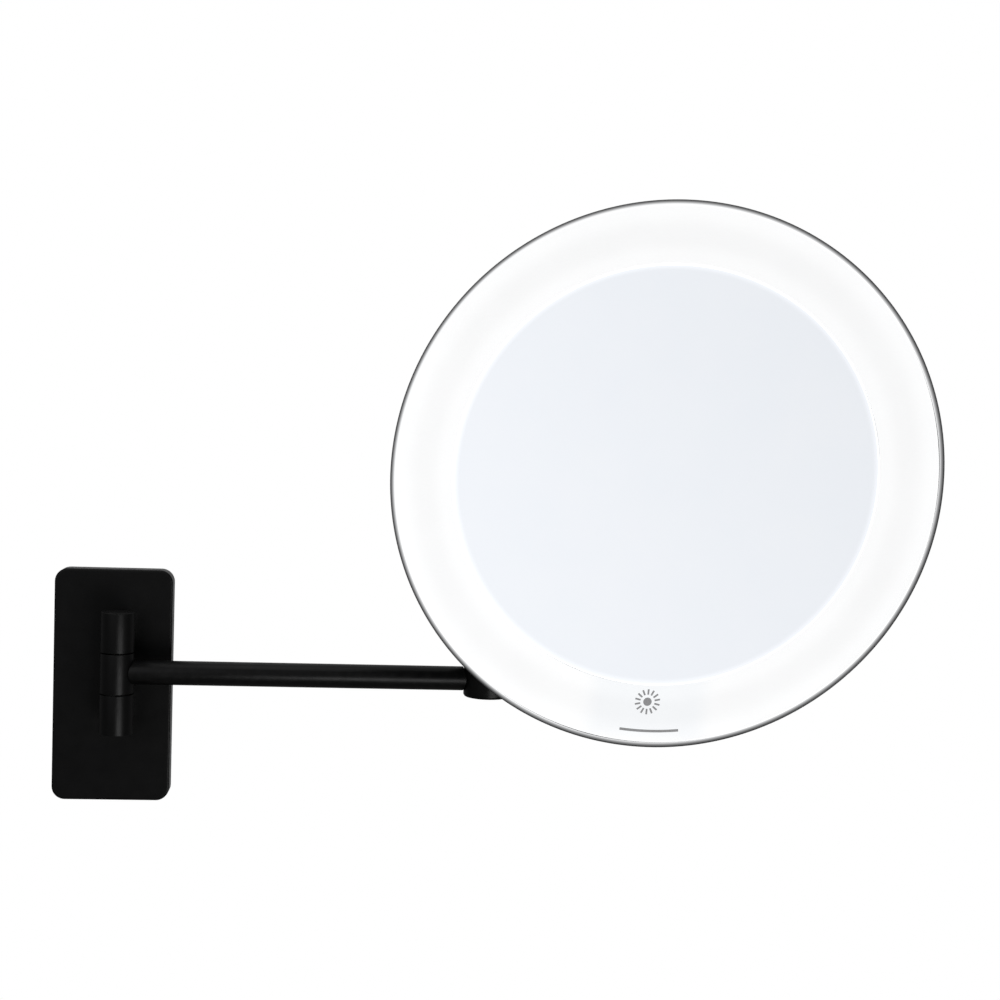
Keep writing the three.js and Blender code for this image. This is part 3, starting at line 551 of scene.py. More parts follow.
# ---------- finishes in use ----------
BLACK = coated("black_coat", (0.0036, 0.0036, 0.0036), (0.03, 0.03, 0.03), 0.36, 0.45 * MM, 6e-6, 0.16)
SHELL = coated("black_shell", (0.020, 0.020, 0.021), (0.05, 0.05, 0.051), 0.5, 0.3 * MM, 2e-5, 0.4)
STEEL = brushed("steel", (0.62, 0.63, 0.64), (0.36, 0.35, 0.34), 0.3, (900, 900, 120))
ZINC = brushed("zinc_plate", (0.60, 0.61, 0.62), (0.42, 0.42, 0.41), 0.38, (90, 700, 900))
CONTACT = brushed("contact_metal", (0.78, 0.62, 0.33), (0.45, 0.33, 0.15), 0.28, (900, 120, 900))
NYLON = coated("nylon", (0.02, 0.02, 0.02), (0.05, 0.05, 0.05), 0.42, 0.5 * MM, 8e-6)
WHITE = coated("white_plastic", (0.80, 0.81, 0.82), (0.86, 0.87, 0.88), 0.42, 0.5 * MM, 8e-6)
DARK = coated("dark_plastic", (0.028, 0.028, 0.030), (0.07, 0.07, 0.07), 0.48, 0.35 * MM, 1.5e-5)
FILM = coated("touch_film", (0.52, 0.55, 0.58), (0.65, 0.68, 0.7), 0.3, 0.8 * MM, 4e-6)
LEDS = board_finish("led_board", (0.86, 0.87, 0.85), (0.70, 0.66, 0.52), 3 * MM)
BOARD = board_finish("circuit_board", (0.02, 0.13, 0.065), (0.05, 0.24, 0.12), 2 * MM)
CELL = cell_finish(0)

FINISH_OF = {
    "wall_bracket": ZINC,
    "wall_screw_upper": STEEL,
    "wall_screw_lower": STEEL,
    "grub_screw": STEEL,
    "hinge_pin": STEEL,
    "lug_screw_lower": STEEL,
    "lug_screw_upper": STEEL,
    "hinge_washer_lower": NYLON,
    "hinge_washer_upper": NYLON,
    "elbow_bolt": STEEL,
    "elbow_nut": STEEL,
    "elbow_washer": NYLON,
    "swivel_pin": STEEL,
    "tilt_washer_left": NYLON,
    "tilt_washer_right": NYLON,
    "touch_film": FILM,
    "mirror_carrier": WHITE,
    "led_board": LEDS,
    "control_board": BOARD,
    "battery_tray": DARK,
    "contact_left": CONTACT,
    "contact_right": CONTACT,
}
for number in (1, 2, 3):
    FINISH_OF["battery_%d" % number] = CELL
    FINISH_OF["bracket_screw_%d" % number] = STEEL
for node, material in FINISH_OF.items():
    NODES[node].data.materials.clear()
    NODES[node].data.materials.append(material)


# ---------- wall plate ----------
PLATE_EDGE = 0.7 * MM
PLATE_CORNER = 5.6 * MM
PLATE_WALL = 1.8 * MM


def round_edge(depth, ease, steps=6):
    """(inset, depth) stages of a quarter-round edge that ends on the face at depth."""
    out = []
    for k in range(steps + 1):
        turn = math.pi / 2 * k / steps
        out.append((ease * (1 - math.cos(turn)), depth + ease * (1 - math.sin(turn))))
    return out


def wall_plate():
    low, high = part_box("wall_plate")
    size = high - low
    stages = [(PLATE_WALL, low.y + PLATE_WALL), (PLATE_WALL, high.y), (0.15 * MM, high.y)]
    stages += [(0, high.y - 0.15 * MM)] + round_edge(low.y, PLATE_EDGE) + [(PLATE_EDGE + 0.6 * MM, low.y)]
    made = slab("wall_plate_cover", size.x, size.z, PLATE_CORNER, stages)
    finish(made, BLACK, "black_coat", "wall", "wall_plate")


wall_plate()

# ---------- wall knuckle and first arm ----------
HINGE = Vector(JOINTS["wall_swing"]["pos_m"])
ELBOW = Vector(JOINTS["elbow_fold"]["pos_m"])
POST = Vector(JOINTS["head_turn"]["pos_m"])
PIVOT = Vector(JOINTS["head_tilt"]["pos_m"])
KNUCKLE_EASE = 0.24 * MM
PIN_PLAY = 0.08 * MM  # gap between a pin and its bore
STEM_SHARE = 0.36  # half the stem's height over the lug's height
STEM_WIDTH = 1.24  # the stem's width over the lug's radius
STEM_CORNER = 1.6 * MM
STEM_START = 0.6 * MM  # how far outside the pin's bore the stem starts


def at(point, z=0.0):
    return Matrix.Translation((point.x, point.y, z))


def barrel(name, radius, low, high, ease=KNUCKLE_EASE, axis="z", matrix=None, bore=0.0):
    """A round barrel with eased rims, bored through where bore is given."""
    if bore:
        corners = [(bore, low, 0), (radius, low, ease), (radius, high, ease), (bore, high, 0)]
    else:
        corners = [(0, low, 0), (radius, low, ease), (radius, high, ease), (0, high, 0)]
    return lathe(name, fillet(corners), axis, matrix)


def knuckle_lug(node, bore_open):
    low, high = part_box(node)
    radius = (high.x - low.x) / 2
    pin = radii("hinge_pin", 2, Matrix.Translation(-HINGE))[1] + PIN_PLAY
    body = barrel(node + "_casting", radius, low.z, high.z, matrix=at(HINGE), bore=pin if bore_open else 0)
    tall = (high.z - low.z) * STEM_SHARE
    centre = ((low.x + high.x) / 2, 0, middle(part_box("lug_screw_" + node.split("_")[-1])).z)
    inside = HINGE.y + pin + STEM_START
    stem = slab("stem", radius * STEM_WIDTH, 2 * tall, STEM_CORNER, [(0, inside), (0, high.y)], centre)
    boolean(body, [stem], "UNION")
    finish(body, BLACK, "black_coat", "wall", node)


knuckle_lug("knuckle_lug_lower", True)
knuckle_lug("knuckle_lug_upper", False)


def knuckle_sleeve():
    low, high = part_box("knuckle_sleeve")
    pin = radii("hinge_pin", 2, Matrix.Translation(-HINGE))[1] + PIN_PLAY
    radius = HINGE.x - low.x
    body = barrel("knuckle_sleeve_barrel", radius, low.z, high.z, matrix=at(HINGE), bore=pin)
    finish(body, BLACK, "black_coat", "arm", "knuckle_sleeve")
    return radius


SLEEVE_RADIUS = knuckle_sleeve()
HUB_RADIUS = (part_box("elbow_hub_upper")[1].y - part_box("elbow_hub_upper")[0].y) / 2
SEAM = 0.25 * MM
TUBE_EASE = 0.3 * MM


def coped_ring(radius, stop, side, shift, centre_z, sides=96):
    """A tube's end ring cut to sit against an upright barrel of radius stop at the origin."""
    ring = []
    for k in range(sides):
        turn = 2 * math.pi * k / sides
        y = radius * math.cos(turn)
        x = side * (math.sqrt(stop * stop - y * y) + shift)
        ring.append(Vector((x, y, centre_z + radius * math.sin(turn))))
    return ring


def arm_tube():
    low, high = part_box("arm_tube")
    radius = (high.z - low.z) / 2
    centre = (high.z + low.z) / 2
    reach = Vector((ELBOW.x - HINGE.x, 0, 0))
    near = SLEEVE_RADIUS + SEAM
    far = HUB_RADIUS + SEAM
    steps = [(radius * 0.55, 0.4 * MM), (radius - TUBE_EASE, 0),
             (radius - TUBE_EASE * 0.3, TUBE_EASE * 0.3), (radius, TUBE_EASE)]
    rings = [coped_ring(r, near, 1, shift, centre) for r, shift in steps]
    for r, shift in reversed(steps):
        rings.append([p + reach for p in coped_ring(r, far, -1, shift, centre)])
    made = tube_rings("arm_tube_coated", rings, at(HINGE))
    finish(made, BLACK, "black_coat", "arm", "arm_tube")


arm_tube()

# ---------- elbow ----------
HUB_EDGE = 1.7 * MM
CAP_PLAY = 0.15 * MM
CAP_FLOOR = 0.3 * MM
CAP_CROWN = 0.12 * MM


def elbow_hub(node, cap_node, body_name, cap_below):
    low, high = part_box(node)
    cap_low, cap_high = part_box(cap_node)
    cap_radius = (cap_high.x - cap_low.x) / 2
    pocket = cap_radius + CAP_PLAY
    floor = cap_high.z + CAP_FLOOR if cap_below else cap_low.z - CAP_FLOOR
    open_end = low.z if cap_below else high.z
    far_end = high.z if cap_below else low.z
    corners = [
        (0, floor, 0),
        (pocket, floor, 0),
        (pocket, open_end, 0.15 * MM),
        (HUB_RADIUS, open_end, HUB_EDGE),
        (HUB_RADIUS, far_end, HUB_EDGE),
        (0, far_end, 0),
    ]
    hub = lathe(node + "_turned", fillet(corners, 7), "z", at(ELBOW))
    finish(hub, BLACK, "black_coat", body_name, node)
    outer = cap_low.z if cap_below else cap_high.z
    inner = cap_high.z if cap_below else cap_low.z
    step = CAP_CROWN if cap_below else -CAP_CROWN
    profile = [(0, inner, 0), (cap_radius, inner, 0), (cap_radius, outer + step, 0.3 * MM)]
    profile += [(cap_radius * 0.6, outer + step * 0.3, 0), (0, outer, 0)]
    cap = lathe(cap_node + "_disc", fillet(profile), "z", at(ELBOW))
    finish(cap, BLACK, "black_coat", body_name, cap_node)


elbow_hub("elbow_hub_lower", "elbow_cap_lower", "arm", True)
elbow_hub("elbow_hub_upper", "elbow_cap_upper", "neck", False)

# ---------- second arm ----------
BEND = 15 * MM


def neck_tube():
    low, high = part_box("neck_tube")
    radius = (high.y - low.y) / 2
    axis_z = low.z + radius
    reach = high.x - radius - ELBOW.x
    far = HUB_RADIUS + SEAM
    rings = [coped_ring(radius - TUBE_EASE, far, 1, 0, axis_z)]
    rings.append(coped_ring(radius, far, 1, TUBE_EASE, axis_z))
    count = len(rings[0])
    steps = 20

    def ring_at(x, z, turn, r):
        out = []
        for k in range(count):
            a = 2 * math.pi * k / count
            rise = r * math.sin(a)
            out.append((x - rise * math.sin(turn), r * math.cos(a), z + rise * math.cos(turn)))
        return out

    for i in range(steps + 1):
        turn = math.pi / 2 * i / steps
        x = reach - BEND + BEND * math.sin(turn)
        rings.append(ring_at(x, axis_z + BEND * (1 - math.cos(turn)), turn, radius))
    rings.append(ring_at(reach, high.z - TUBE_EASE, math.pi / 2, radius))
    rings.append(ring_at(reach, high.z, math.pi / 2, radius - TUBE_EASE))
    made = tube_rings("neck_tube_coated", rings, at(ELBOW))
    finish(made, BLACK, "black_coat", "neck", "neck_tube")


neck_tube()


def swivel_washer():
    low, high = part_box("swivel_washer")
    inner, outer = radii("swivel_washer", 2, Matrix.Translation(-POST))
    corners = [(inner, low.z, 0), (outer, low.z, 0.2 * MM), (outer, high.z, 0.2 * MM), (inner, high.z, 0)]
    made = lathe("swivel_washer_ring", fillet(corners, 3), "z", at(POST))
    finish(made, NYLON, "nylon", "neck", "swivel_washer")


swivel_washer()

# ---------- swivel knuckle ----------


def swivel_frame():
    """Origin on the swivel post at the tilt axis' height, +X along the tilt axis."""
    across = Vector(JOINTS["head_tilt"]["axis"]).normalized()
    up = Vector((0, 0, 1))
    turn = Matrix((across, up.cross(across), up)).transposed().to_4x4()
    return Matrix.Translation((POST.x, POST.y, PIVOT.z)) @ turn


SWIVEL = swivel_frame()
TO_SWIVEL = SWIVEL.inverted()


POST_CAP = 4 * MM
WAIST_SHARE = 0.66  # the waist's radius over the eye's
WAIST_INSET = 0.8 * MM
WELL_PLAY = 0.12 * MM


def swivel_knuckle():
    low, high = spread("swivel_knuckle", TO_SWIVEL)
    cross = TO_SWIVEL @ PIVOT
    radius = high.y
    tilt_radius = cross.y - low.y
    half = (spread("tilt_washer_right", TO_SWIVEL)[0].x) - 0.2 * MM
    bore = radii("hinge_pin", 2, Matrix.Translation(-HINGE))[1]
    post = lathe(
        "swivel_knuckle_casting",
        fillet([
            (0, high.z - POST_CAP, 0),
            (bore, high.z - POST_CAP, 0),
            (bore, low.z, 0),
            (radius, low.z, KNUCKLE_EASE),
            (radius, high.z, KNUCKLE_EASE),
            (0, high.z, 0),
        ]),
        "z",
        SWIVEL,
    )
    inner = bore + WAIST_INSET
    waist = barrel("waist", tilt_radius * WAIST_SHARE, cross.y, -inner, 0, "y", SWIVEL)
    pin = radii("tilt_pin", 0, TO_SWIVEL, cross)[1] + PIN_PLAY
    eye = barrel("eye", tilt_radius, -half, half, axis="x", matrix=SWIVEL @ Matrix.Translation(cross))
    through = SWIVEL @ Matrix.Translation(cross)
    hole = barrel("hole", pin, -2 * half, 2 * half, 0, axis="x", matrix=through)
    boolean(post, [waist, eye], "UNION")
    boolean(post, [hole], "DIFFERENCE")
    screw_low, screw_high = spread("swivel_set_screw", TO_SWIVEL)
    screw_radius = (screw_high.x - screw_low.x) / 2
    well = lathe(
        "well",
        [(0, screw_low.y - 0.15 * MM), (screw_radius + WELL_PLAY, screw_low.y - 0.15 * MM),
         (screw_radius + WELL_PLAY, radius + MM), (0, radius + MM)],
        "y",
        SWIVEL,
        48,
    )
    boolean(post, [well], "DIFFERENCE")
    finish(post, BLACK, "black_coat", "swivel", "swivel_knuckle")
    socket_screw("swivel_set_screw_socket", screw_radius, screw_low.y, screw_high.y)


def socket_screw(name, radius, low, high):
    """A headless screw with a hexagon socket in its outer end."""
    corners = [(0, low, 0), (radius, low, 0.3 * MM), (radius, high, 0.25 * MM), (0, high, 0)]
    body = lathe(name, fillet(corners), "y", SWIVEL, 48)
    floor = high - 1.3 * MM
    across = radius * 0.5
    socket = [(0, floor), (across, floor), (across, high + MM), (0, high + MM)]
    key = lathe("key", socket, "y", SWIVEL, 6)
    boolean(body, [key], "DIFFERENCE")
    finish(body, STEEL, "steel", "swivel", "swivel_set_screw")


swivel_knuckle()

# ---------- tilt bracket and pin ----------


FLANGE_DEPTH = 4 * MM
CHEEK_CORNER = 1.2 * MM
PIN_SLOT = (2 * MM, 0.9 * MM, 0.1 * MM)  # depth, width and corner of the screwdriver slot


def tilt_bracket():
    low, high = spread("tilt_bracket")
    centre = TO_HEAD @ PIVOT
    flange_radius = high.z if high.z > high.x else high.x
    flange_low = low.y
    flange_high = flange_low + FLANGE_DEPTH
    radius = high.y - centre.y
    pin_low, pin_high = spread("tilt_pin")
    out = high.x if high.x < flange_radius - 1e-6 else pin_high.x + 0.4 * MM
    near = spread("tilt_washer_right")[0].x + 0.3 * MM
    flange = lathe(
        "tilt_bracket_casting",
        fillet([
            (0, flange_low, 0),
            (flange_radius, flange_low, 0.2 * MM),
            (flange_radius, flange_high, 0.9 * MM),
            (0, flange_high, 0),
        ]),
        "y",
        HEAD,
    )
    pin = (pin_high.z - pin_low.z) / 2
    place = HEAD @ Matrix.Translation(centre)
    for side in (-1, 1):
        ends = sorted((side * near, side * out))
        eye = barrel("eye", radius, ends[0], ends[1], axis="x", matrix=place)
        width = out - near - CHEEK_CORNER
        cheek = slab(
            "cheek",
            width,
            radius * 1.4,
            CHEEK_CORNER,
            [(0, flange_low + MM), (0, centre.y - pin - 0.6 * MM)],
            (side * (near + out) / 2, 0, 0),
            HEAD,
        )
        boolean(flange, [cheek, eye], "UNION")
    hole = barrel("hole", pin + 0.02 * MM, -2 * out, 2 * out, 0, axis="x", matrix=place)
    boolean(flange, [hole], "DIFFERENCE")
    finish(flange, BLACK, "black_coat", "head", "tilt_bracket")
    rod = barrel("tilt_pin_turned", pin, pin_low.x, pin_high.x, 0.4 * MM, axis="x", matrix=place)
    end = (pin_high.x + 0.1 * MM, 0, 0)
    slot_tool = slab("slot", *PIN_SLOT, [(0, -2 * pin), (0, 2 * pin)], end, place)
    boolean(rod, [slot_tool], "DIFFERENCE")
    finish(rod, STEEL, "steel", "head", "tilt_pin")


tilt_bracket()

# ---------- head ----------
RIM_INNER, RIM_OUTER = radii("front_rim")
RING_INNER, RING_OUTER = radii("light_ring")
GLASS_RADIUS = radii("mirror_glass")[1]


def front_rim():
    back = spread("front_rim")[1].y
    corners = [
        (RIM_INNER, back, 0),
        (RIM_INNER, 0.05 * MM, 0.3 * MM),
        (RIM_INNER + 0.9 * MM, 0, 0.5 * MM),
        (RIM_OUTER, 0.0, 0.9 * MM),
        (RIM_OUTER - 0.9 * MM, back, 0.2 * MM),
        (RIM_INNER + 0.4 * MM, back, 0),
    ]
    made = lathe("front_rim_band", fillet(corners, 6), "y", HEAD, 256)
    finish(made, rim_coat_with_painted_glow(RIM_OUTER, RIM_INNER), "black_coat", "head", "front_rim")


front_rim()


def ring_depths():
    """Front and back depth of the light ring at its outer edge, then at its inner edge."""
    points = [TO_HEAD @ co for co in vertices("light_ring")]
    far = [p.y for p in points if math.hypot(p.x, p.z) > RING_OUTER - 0.5 * MM]
    near = [p.y for p in points if math.hypot(p.x, p.z) < RING_INNER + 0.5 * MM]
    return min(far), max(far), min(near), max(near)


RING_FRONT_OUT, RING_BACK_OUT, RING_FRONT_IN, RING_BACK_IN = ring_depths()
SYMBOL_RADIUS = 92.3 * MM
SYMBOL_TURN = math.radians(2)


def ring_depth(radius):
    """Depth of the ring's front at a distance from the head's axis."""
    share = (RING_OUTER - radius) / (RING_OUTER - RING_INNER)
    return RING_FRONT_OUT + share * (RING_FRONT_IN - RING_FRONT_OUT)


def on_ring(across, up, lift):
    """A point on the ring from its place in the symbol's square, lifted off the face."""
    sine = math.sin(SYMBOL_TURN)
    cosine = math.cos(SYMBOL_TURN)
    x = SYMBOL_RADIUS * sine + across * cosine - up * sine
    z = -SYMBOL_RADIUS * cosine + across * sine + up * cosine
    return (x, ring_depth(math.hypot(x, z)) - lift, z)


def light_ring():
    corners = [
        (RING_INNER, RING_FRONT_IN, 0),
        (RING_INNER + 0.8 * MM, RING_FRONT_IN - 0.27 * MM, 0),
        (RING_OUTER - 0.2 * MM, RING_FRONT_OUT, 0.2 * MM),
        (RING_OUTER, RING_FRONT_OUT + 0.3 * MM, 0.2 * MM),
        (RING_OUTER, RING_BACK_OUT, 0),
        (RING_INNER, RING_BACK_IN, 0),
    ]
    made = lathe("light_ring_diffuser", fillet(corners), "y", HEAD, 256)
    symbol = Vector(on_ring(0, 0, 0))
    material = opal_glow_with_painted_shade(RING_OUTER, RING_INNER, symbol)
    finish(made, material, "opal_ring", "head", "light_ring")


light_ring()


def mirror_glass():
    points = [TO_HEAD @ co for co in vertices("mirror_glass")]
    rim = [p.y for p in points if math.hypot(p.x, p.z) > GLASS_RADIUS - MM]
    hub = [p.y for p in points if math.hypot(p.x, p.z) < MM]
    front, back = min(rim), max(rim)
    sag = min(hub) - front
    ease = 0.35 * MM
    steps = 28
    profile = []
    for k in range(steps + 1):
        share = k / steps
        r = (GLASS_RADIUS - ease) * share
        profile.append((r, front + sag * (1 - share * share)))
    profile.append((GLASS_RADIUS, front + ease))
    profile.append((GLASS_RADIUS, back - 0.1 * MM))
    for k in range(steps, -1, -1):
        share = k / steps
        profile.append(((GLASS_RADIUS - 0.1 * MM) * share, back + sag * (1 - share * share)))
    made = lathe("mirror_glass_disc", profile, "y", HEAD, 256)
    finish(made, mirror_with_painted_edge_glow(GLASS_RADIUS), "mirror_glass", "head", "mirror_glass")


mirror_glass()

RAYS = 14
DOT_RADIUS = 1.65 * MM
RAY_FROM = 2.8 * MM
RAY_TO = 4.95 * MM
RAY_WIDTH = 0.7 * MM
DASH_RADIUS = SYMBOL_RADIUS + 11.4 * MM
DASH_TURN = math.radians(0.9)
DASH_HALF = math.radians(6.3)
DASH_WIDTH = 1.0 * MM
DASH_STEPS = 24
INK_LIFT = 0.06 * MM
INK_SUNK = 0.05 * MM


def prism(outline, points, faces):
    """Adds a printed patch of ink: its outline on the ring, raised by INK_LIFT."""
    start = len(points)
    count = len(outline)
    for lift in (-INK_SUNK, INK_LIFT):
        points += [on_ring(a, b, lift) for a, b in outline]
    faces.append([start + count + k for k in range(count)])
    faces.append([start + k for k in reversed(range(count))])
    for k in range(count):
        n = (k + 1) % count
        faces.append([start + k, start + n, start + count + n, start + count + k])


def touch_symbol():
    """A plain brightness sign: a dot with short rays, and one curved dash below it."""
    points = []
    faces = []
    sides = 40
    turns = [2 * math.pi * k / sides for k in range(sides)]
    prism([(DOT_RADIUS * math.cos(turn), DOT_RADIUS * math.sin(turn)) for turn in turns], points, faces)
    for i in range(RAYS):
        turn = math.pi / 2 + 2 * math.pi * i / RAYS
        along = Vector((math.cos(turn), math.sin(turn)))
        side = Vector((-along.y, along.x)) * RAY_WIDTH / 2
        start = along * RAY_FROM
        end = along * RAY_TO
        corners = [start - side, end - side, end + side, start + side]
        prism([(c.x, c.y) for c in corners], points, faces)
    outer = []
    inner = []
    for k in range(DASH_STEPS + 1):
        turn = DASH_TURN + DASH_HALF * (2 * k / DASH_STEPS - 1)
        for edge, side in ((outer, 1), (inner, -1)):
            r = DASH_RADIUS + side * DASH_WIDTH / 2
            edge.append((r * math.sin(turn), SYMBOL_RADIUS - r * math.cos(turn)))
    prism(outer + inner[::-1], points, faces)
    made = piece("touch_symbol", points, faces, HEAD)
    made.data.materials.append(ink_with_painted_glow())
    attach(made, "head")


touch_symbol()

# ---------- back of the head ----------


def smooth_line(points, steps=6):
    """A Catmull-Rom curve through (r, h) points."""
    out = []
    padded = [points[0]] + points + [points[-1]]
    for i in range(1, len(padded) - 2):
        p0, p1, p2, p3 = (Vector(p) for p in padded[i - 1:i + 3])
        for k in range(steps):
            t = k / steps
            value = 0.5 * (2 * p1 + (p2 - p0) * t + (2 * p0 - 5 * p1 + 4 * p2 - p3) * t * t
                           + (3 * p1 - p0 - 3 * p2 + p3) * t ** 3)
            out.append((value.x, value.y))
    out.append(tuple(points[-1]))
    return out


SHELL_WALL = 1.8 * MM
BOSS_RADIUS = 4.4 * MM
WELL_RADIUS = 3 * MM
DOOR_CORNER = 4 * MM
DOOR_GAP = 0.25 * MM
BOSS_UNDER = 0.7 * MM  # how far below the shell's outer face a boss ends, inside the wall


def shell_curve():
    """The shell's outer profile, from the parting line to the flat of its back."""
    low, high = spread("rear_shell")
    depth = high.y
    outside = [
        (RIM_OUTER - 0.95 * MM, low.y),
        (RIM_OUTER * 0.968, depth * 0.37),
        (RIM_OUTER * 0.91, depth * 0.62),
        (RIM_OUTER * 0.82, depth * 0.85),
        (RIM_OUTER * 0.72, depth * 0.965),
        (RIM_OUTER * 0.64, depth),
    ]
    return [(r, min(h, depth)) for r, h in smooth_line(outside)], low.y, depth


def rear_shell(curve, start, depth):
    inside = [
        (0, depth - SHELL_WALL),
        (RIM_OUTER * 0.64, depth - SHELL_WALL),
        (RIM_OUTER * 0.71, depth * 0.965 - SHELL_WALL),
        (RIM_OUTER * 0.805, depth * 0.85 - SHELL_WALL),
        (RIM_OUTER * 0.893, depth * 0.62 - SHELL_WALL),
        (RIM_OUTER * 0.95, depth * 0.37 - SHELL_WALL * 0.6),
        (RIM_OUTER - 0.95 * MM - SHELL_WALL, start),
    ]
    return lathe("rear_shell_moulding", curve + [(0, depth)] + inside, "y", HEAD, 192)


def shell_boss(curve, start, depth, place, low):
    """A screw boss trimmed to end inside the shell's wall, so that its end never lies on a face."""
    under = [(r, h - BOSS_UNDER) for r, h in curve]
    dome = lathe("dome", under + [(0, depth - BOSS_UNDER), (0, start - BOSS_UNDER)], "y", HEAD, 180)
    boss = barrel("boss", BOSS_RADIUS, low, depth + MM, 0, "y", place)
    return boolean(boss, [dome], "INTERSECT")


def close_shell():
    curve, start, depth = shell_curve()
    body = rear_shell(curve, start, depth)
    door_low, door_high = spread("battery_door")
    centre = ((door_low.x + door_high.x) / 2, 0, (door_low.z + door_high.z) / 2)
    width = door_high.x - door_low.x
    height = door_high.z - door_low.z
    hole = slab("door_hole", width + 2 * DOOR_GAP, height + 2 * DOOR_GAP, DOOR_CORNER + DOOR_GAP,
                [(0, depth - SHELL_WALL - MM), (0, depth + MM)], centre, HEAD)
    bosses = []
    wells = []
    for number in (1, 2, 3):
        screw_low, screw_high = spread("shell_screw_%d" % number)
        x = (screw_low.x + screw_high.x) / 2
        z = (screw_low.z + screw_high.z) / 2
        seat = screw_high.y - 2.05 * MM
        place = HEAD @ Matrix.Translation((x, 0, z))
        bosses.append(shell_boss(curve, start, depth, place, screw_low.y + 1.6 * MM))
        turned = place @ Matrix.Rotation(math.radians(1.7), 4, "Y")
        wells.append(barrel("well", WELL_RADIUS, seat, depth + 2 * MM, 0, "y", turned))
        shell_screw(number, x, z, seat + 0.25 * MM, screw_low.y)
    boolean(body, bosses, "UNION")
    boolean(body, wells + [hole], "DIFFERENCE")
    finish(body, SHELL, "black_shell", "head", "rear_shell")
    grips(door_low, door_high, centre, width, height)


def shell_screw(number, x, z, seat, tip):
    name = "shell_screw_%d" % number
    place = HEAD @ Matrix.Translation((x, 0, z))
    top = seat + 1.8 * MM
    corners = [
        (0, tip, 0),
        (0.9 * MM, tip, 0),
        (1.5 * MM, tip + MM, 0),
        (1.5 * MM, seat, 0),
        (2.6 * MM, seat, 0),
        (2.6 * MM, seat + 1.2 * MM, 0.3 * MM),
        (1.9 * MM, top, 0.6 * MM),
        (0, top, 0),
    ]
    body = lathe(name + "_pan", fillet(corners), "y", place, 48)
    for width, height in ((2.6 * MM, 0.66 * MM), (0.66 * MM, 2.6 * MM)):
        stages = [(0, seat + 0.8 * MM), (0, seat + 3 * MM)]
        slot_tool = slab("slot", width, height, 0.08 * MM, stages, (0, 0, 0), place)
        boolean(body, [slot_tool], "DIFFERENCE")
    finish(body, STEEL, "steel", "head", name)


def grips(low, high, centre, width, height):
    """The battery door, with three finger grooves."""
    stages = [(0.1 * MM, low.y), (0, low.y + 0.1 * MM)]
    edge = 0.4 * MM
    for k in range(5):
        turn = math.pi / 2 * k / 4
        stages.append((edge * (1 - math.cos(turn)), high.y - edge * (1 - math.sin(turn))))
    door = slab("battery_door_panel", width, height, DOOR_CORNER, stages, centre, HEAD)
    for row in (-1, 0, 1):
        groove = slab("groove", 16 * MM, 1.2 * MM, 0.59 * MM, [(0, high.y - 0.6 * MM), (0, high.y + MM)],
                      (centre[0], 0, centre[2] + row * 3 * MM), HEAD)
        boolean(door, [groove], "DIFFERENCE")
    finish(door, SHELL, "black_shell", "door", "battery_door")


close_shell()

# ---------- stage ----------
FLOOR_DROP = 1.1
FLOOR_HALF = 14
GLOW_TOWARDS = Vector((-0.4775, -0.7747, 0.4136))
GLOW_FADE = Vector((0.64, -0.19, 0.39))  # how fast the glow changes towards each axis
GLOW_EDGE = 0.80
GLOW_CORE = 0.97
GLOW_COLOUR = (0.921, 0.926, 0.948)
ROOM_FRONT = (0.10, 0.10, 0.10)
ROOM_TOP = (0.34, 0.34, 0.35)
ROOM_TOP_FROM = -0.3  # how far up a ray points (its Z) where the ceiling's paler tone starts
ROOM_BACK = (0.6, 0.6, 0.6)
ROOM_BACK_EDGE = 0.86
ROOM_BACK_CORE = 0.97


def plain_emission(name, colour, strength):
    material = bpy.data.materials.new(name)
    material.use_nodes = True
    tree = material.node_tree
    tree.nodes.clear()
    glow = tree.nodes.new("ShaderNodeEmission")
    glow.inputs["Color"].default_value = (*colour, 1)
    glow.inputs["Strength"].default_value = strength
    out = tree.nodes.new("ShaderNodeOutputMaterial")
    tree.links.new(glow.outputs[0], out.inputs["Surface"])
    return material


def pale_floor():
    z = cad_box[0].z - FLOOR_DROP
    corners = [(FLOOR_HALF * a, FLOOR_HALF * b, z) for a, b in ((-1, -1), (1, -1), (1, 1), (-1, 1))]
    floor = piece("floor", corners, [[0, 1, 2, 3]])
    floor.data.materials.append(plain_emission("pale_floor", (1, 1, 1), 1.0))
    floor.visible_glossy = False
    floor.visible_diffuse = False


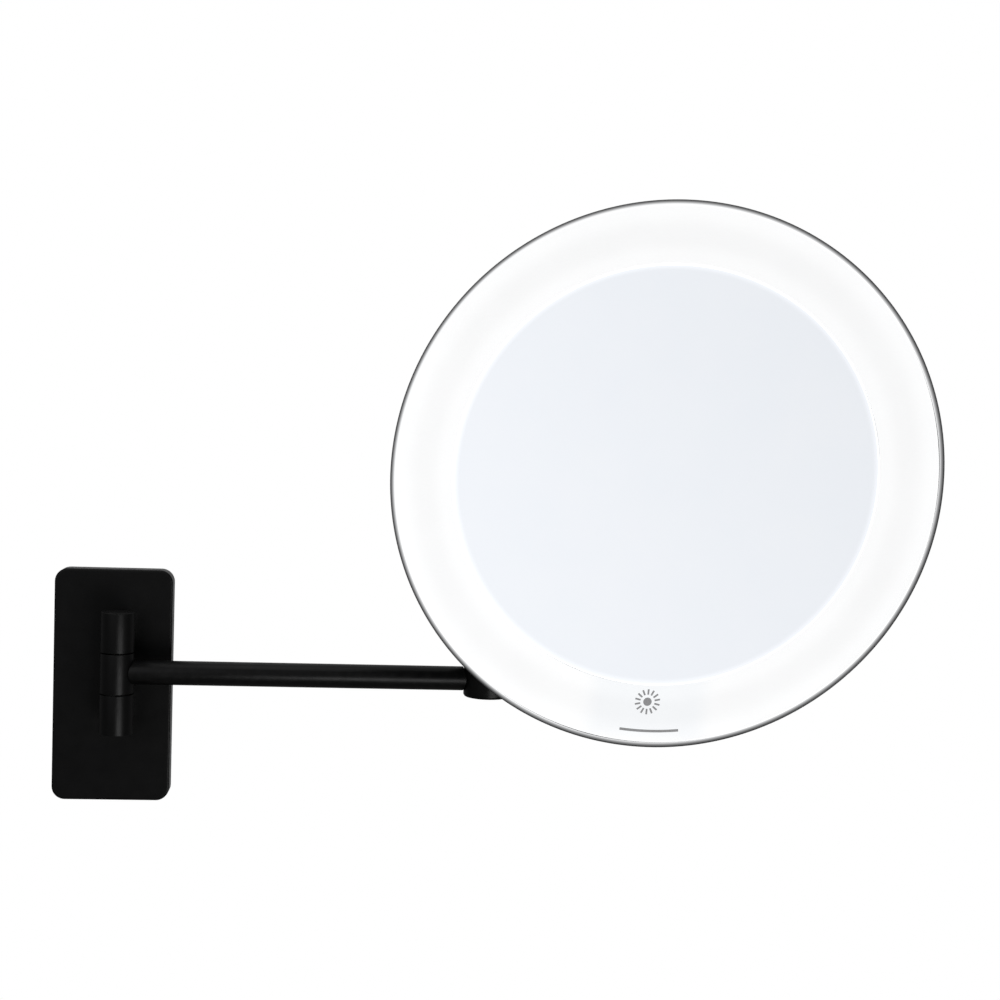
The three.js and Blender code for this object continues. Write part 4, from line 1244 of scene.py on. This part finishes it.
def studio_world():
    """White for the camera. The object sees a dim room, paler above and behind, with one pale glow."""
    world = bpy.data.worlds.new("studio")
    bpy.context.scene.world = world
    world.use_nodes = True
    tree = world.node_tree
    tree.nodes.clear()
    place = tree.nodes.new("ShaderNodeTexCoord").outputs["Generated"]

    def towards(direction):
        made = tree.nodes.new("ShaderNodeVectorMath")
        made.operation = "DOT_PRODUCT"
        made.inputs[1].default_value = direction
        tree.links.new(place, made.inputs[0])
        return made.outputs["Value"]

    def rise(value, low, high, kind="SMOOTHSTEP"):
        made = tree.nodes.new("ShaderNodeMapRange")
        made.interpolation_type = kind
        made.inputs["From Min"].default_value = low
        made.inputs["From Max"].default_value = high
        tree.links.new(value, made.inputs["Value"])
        return made.outputs["Result"]

    def blend(share, one, two):
        made = tree.nodes.new("ShaderNodeMix")
        made.data_type = "RGBA"
        tree.links.new(share, made.inputs["Factor"])
        for socket, value in ((made.inputs["A"], one), (made.inputs["B"], two)):
            if isinstance(value, tuple):
                socket.default_value = (*value, 1)
            else:
                tree.links.new(value, socket)
        return made.outputs["Result"]

    aim = GLOW_TOWARDS.normalized()
    dimmer = tree.nodes.new("ShaderNodeMath")
    dimmer.operation = "ADD"
    dimmer.inputs[1].default_value = 1 - GLOW_FADE.dot(aim)
    tree.links.new(towards(GLOW_FADE), dimmer.inputs[0])
    glow = tree.nodes.new("ShaderNodeVectorMath")
    glow.operation = "SCALE"
    glow.inputs[0].default_value = GLOW_COLOUR
    tree.links.new(dimmer.outputs[0], glow.inputs["Scale"])
    upwards = rise(towards((0, 0, 1)), ROOM_TOP_FROM, 1, "LINEAR")
    backwards = rise(towards((0, 1, 0)), ROOM_BACK_EDGE, ROOM_BACK_CORE)
    walls = blend(backwards, blend(upwards, ROOM_FRONT, ROOM_TOP), ROOM_BACK)
    seen = tree.nodes.new("ShaderNodeLightPath")
    room = tree.nodes.new("ShaderNodeBackground")
    white = tree.nodes.new("ShaderNodeBackground")
    white.inputs["Color"].default_value = (1, 1, 1, 1)
    both = tree.nodes.new("ShaderNodeMixShader")
    out = tree.nodes.new("ShaderNodeOutputWorld")
    lit = blend(rise(towards(aim), GLOW_EDGE, GLOW_CORE), walls, glow.outputs[0])
    tree.links.new(lit, room.inputs["Color"])
    tree.links.new(seen.outputs["Is Camera Ray"], both.inputs["Fac"])
    tree.links.new(room.outputs[0], both.inputs[1])
    tree.links.new(white.outputs[0], both.inputs[2])
    tree.links.new(both.outputs[0], out.inputs["Surface"])


def soft_light(name, place, aim, size, power):
    data = bpy.data.lights.new(name, "AREA")
    data.shape = "RECTANGLE"
    data.size, data.size_y = size
    data.energy = power
    light = bpy.data.objects.new(name, data)
    bpy.context.scene.collection.objects.link(light)
    light.location = place
    light.rotation_euler = (Vector(aim) - Vector(place)).to_track_quat("-Z", "Y").to_euler()


pale_floor()
studio_world()
soft_light("overhead", (0.05, -0.1, 1.3), (0.05, -0.05, 0), (1.2, 0.8), 2.7)
soft_light("table", (0.55, -1.0, -0.36), (0.0, 0, 0.0), (0.6, 0.5), 4.6)
soft_light("behind", (0.15, 0.75, 0.85), (0.12, 0, 0.05), (0.9, 0.6), 0.5)
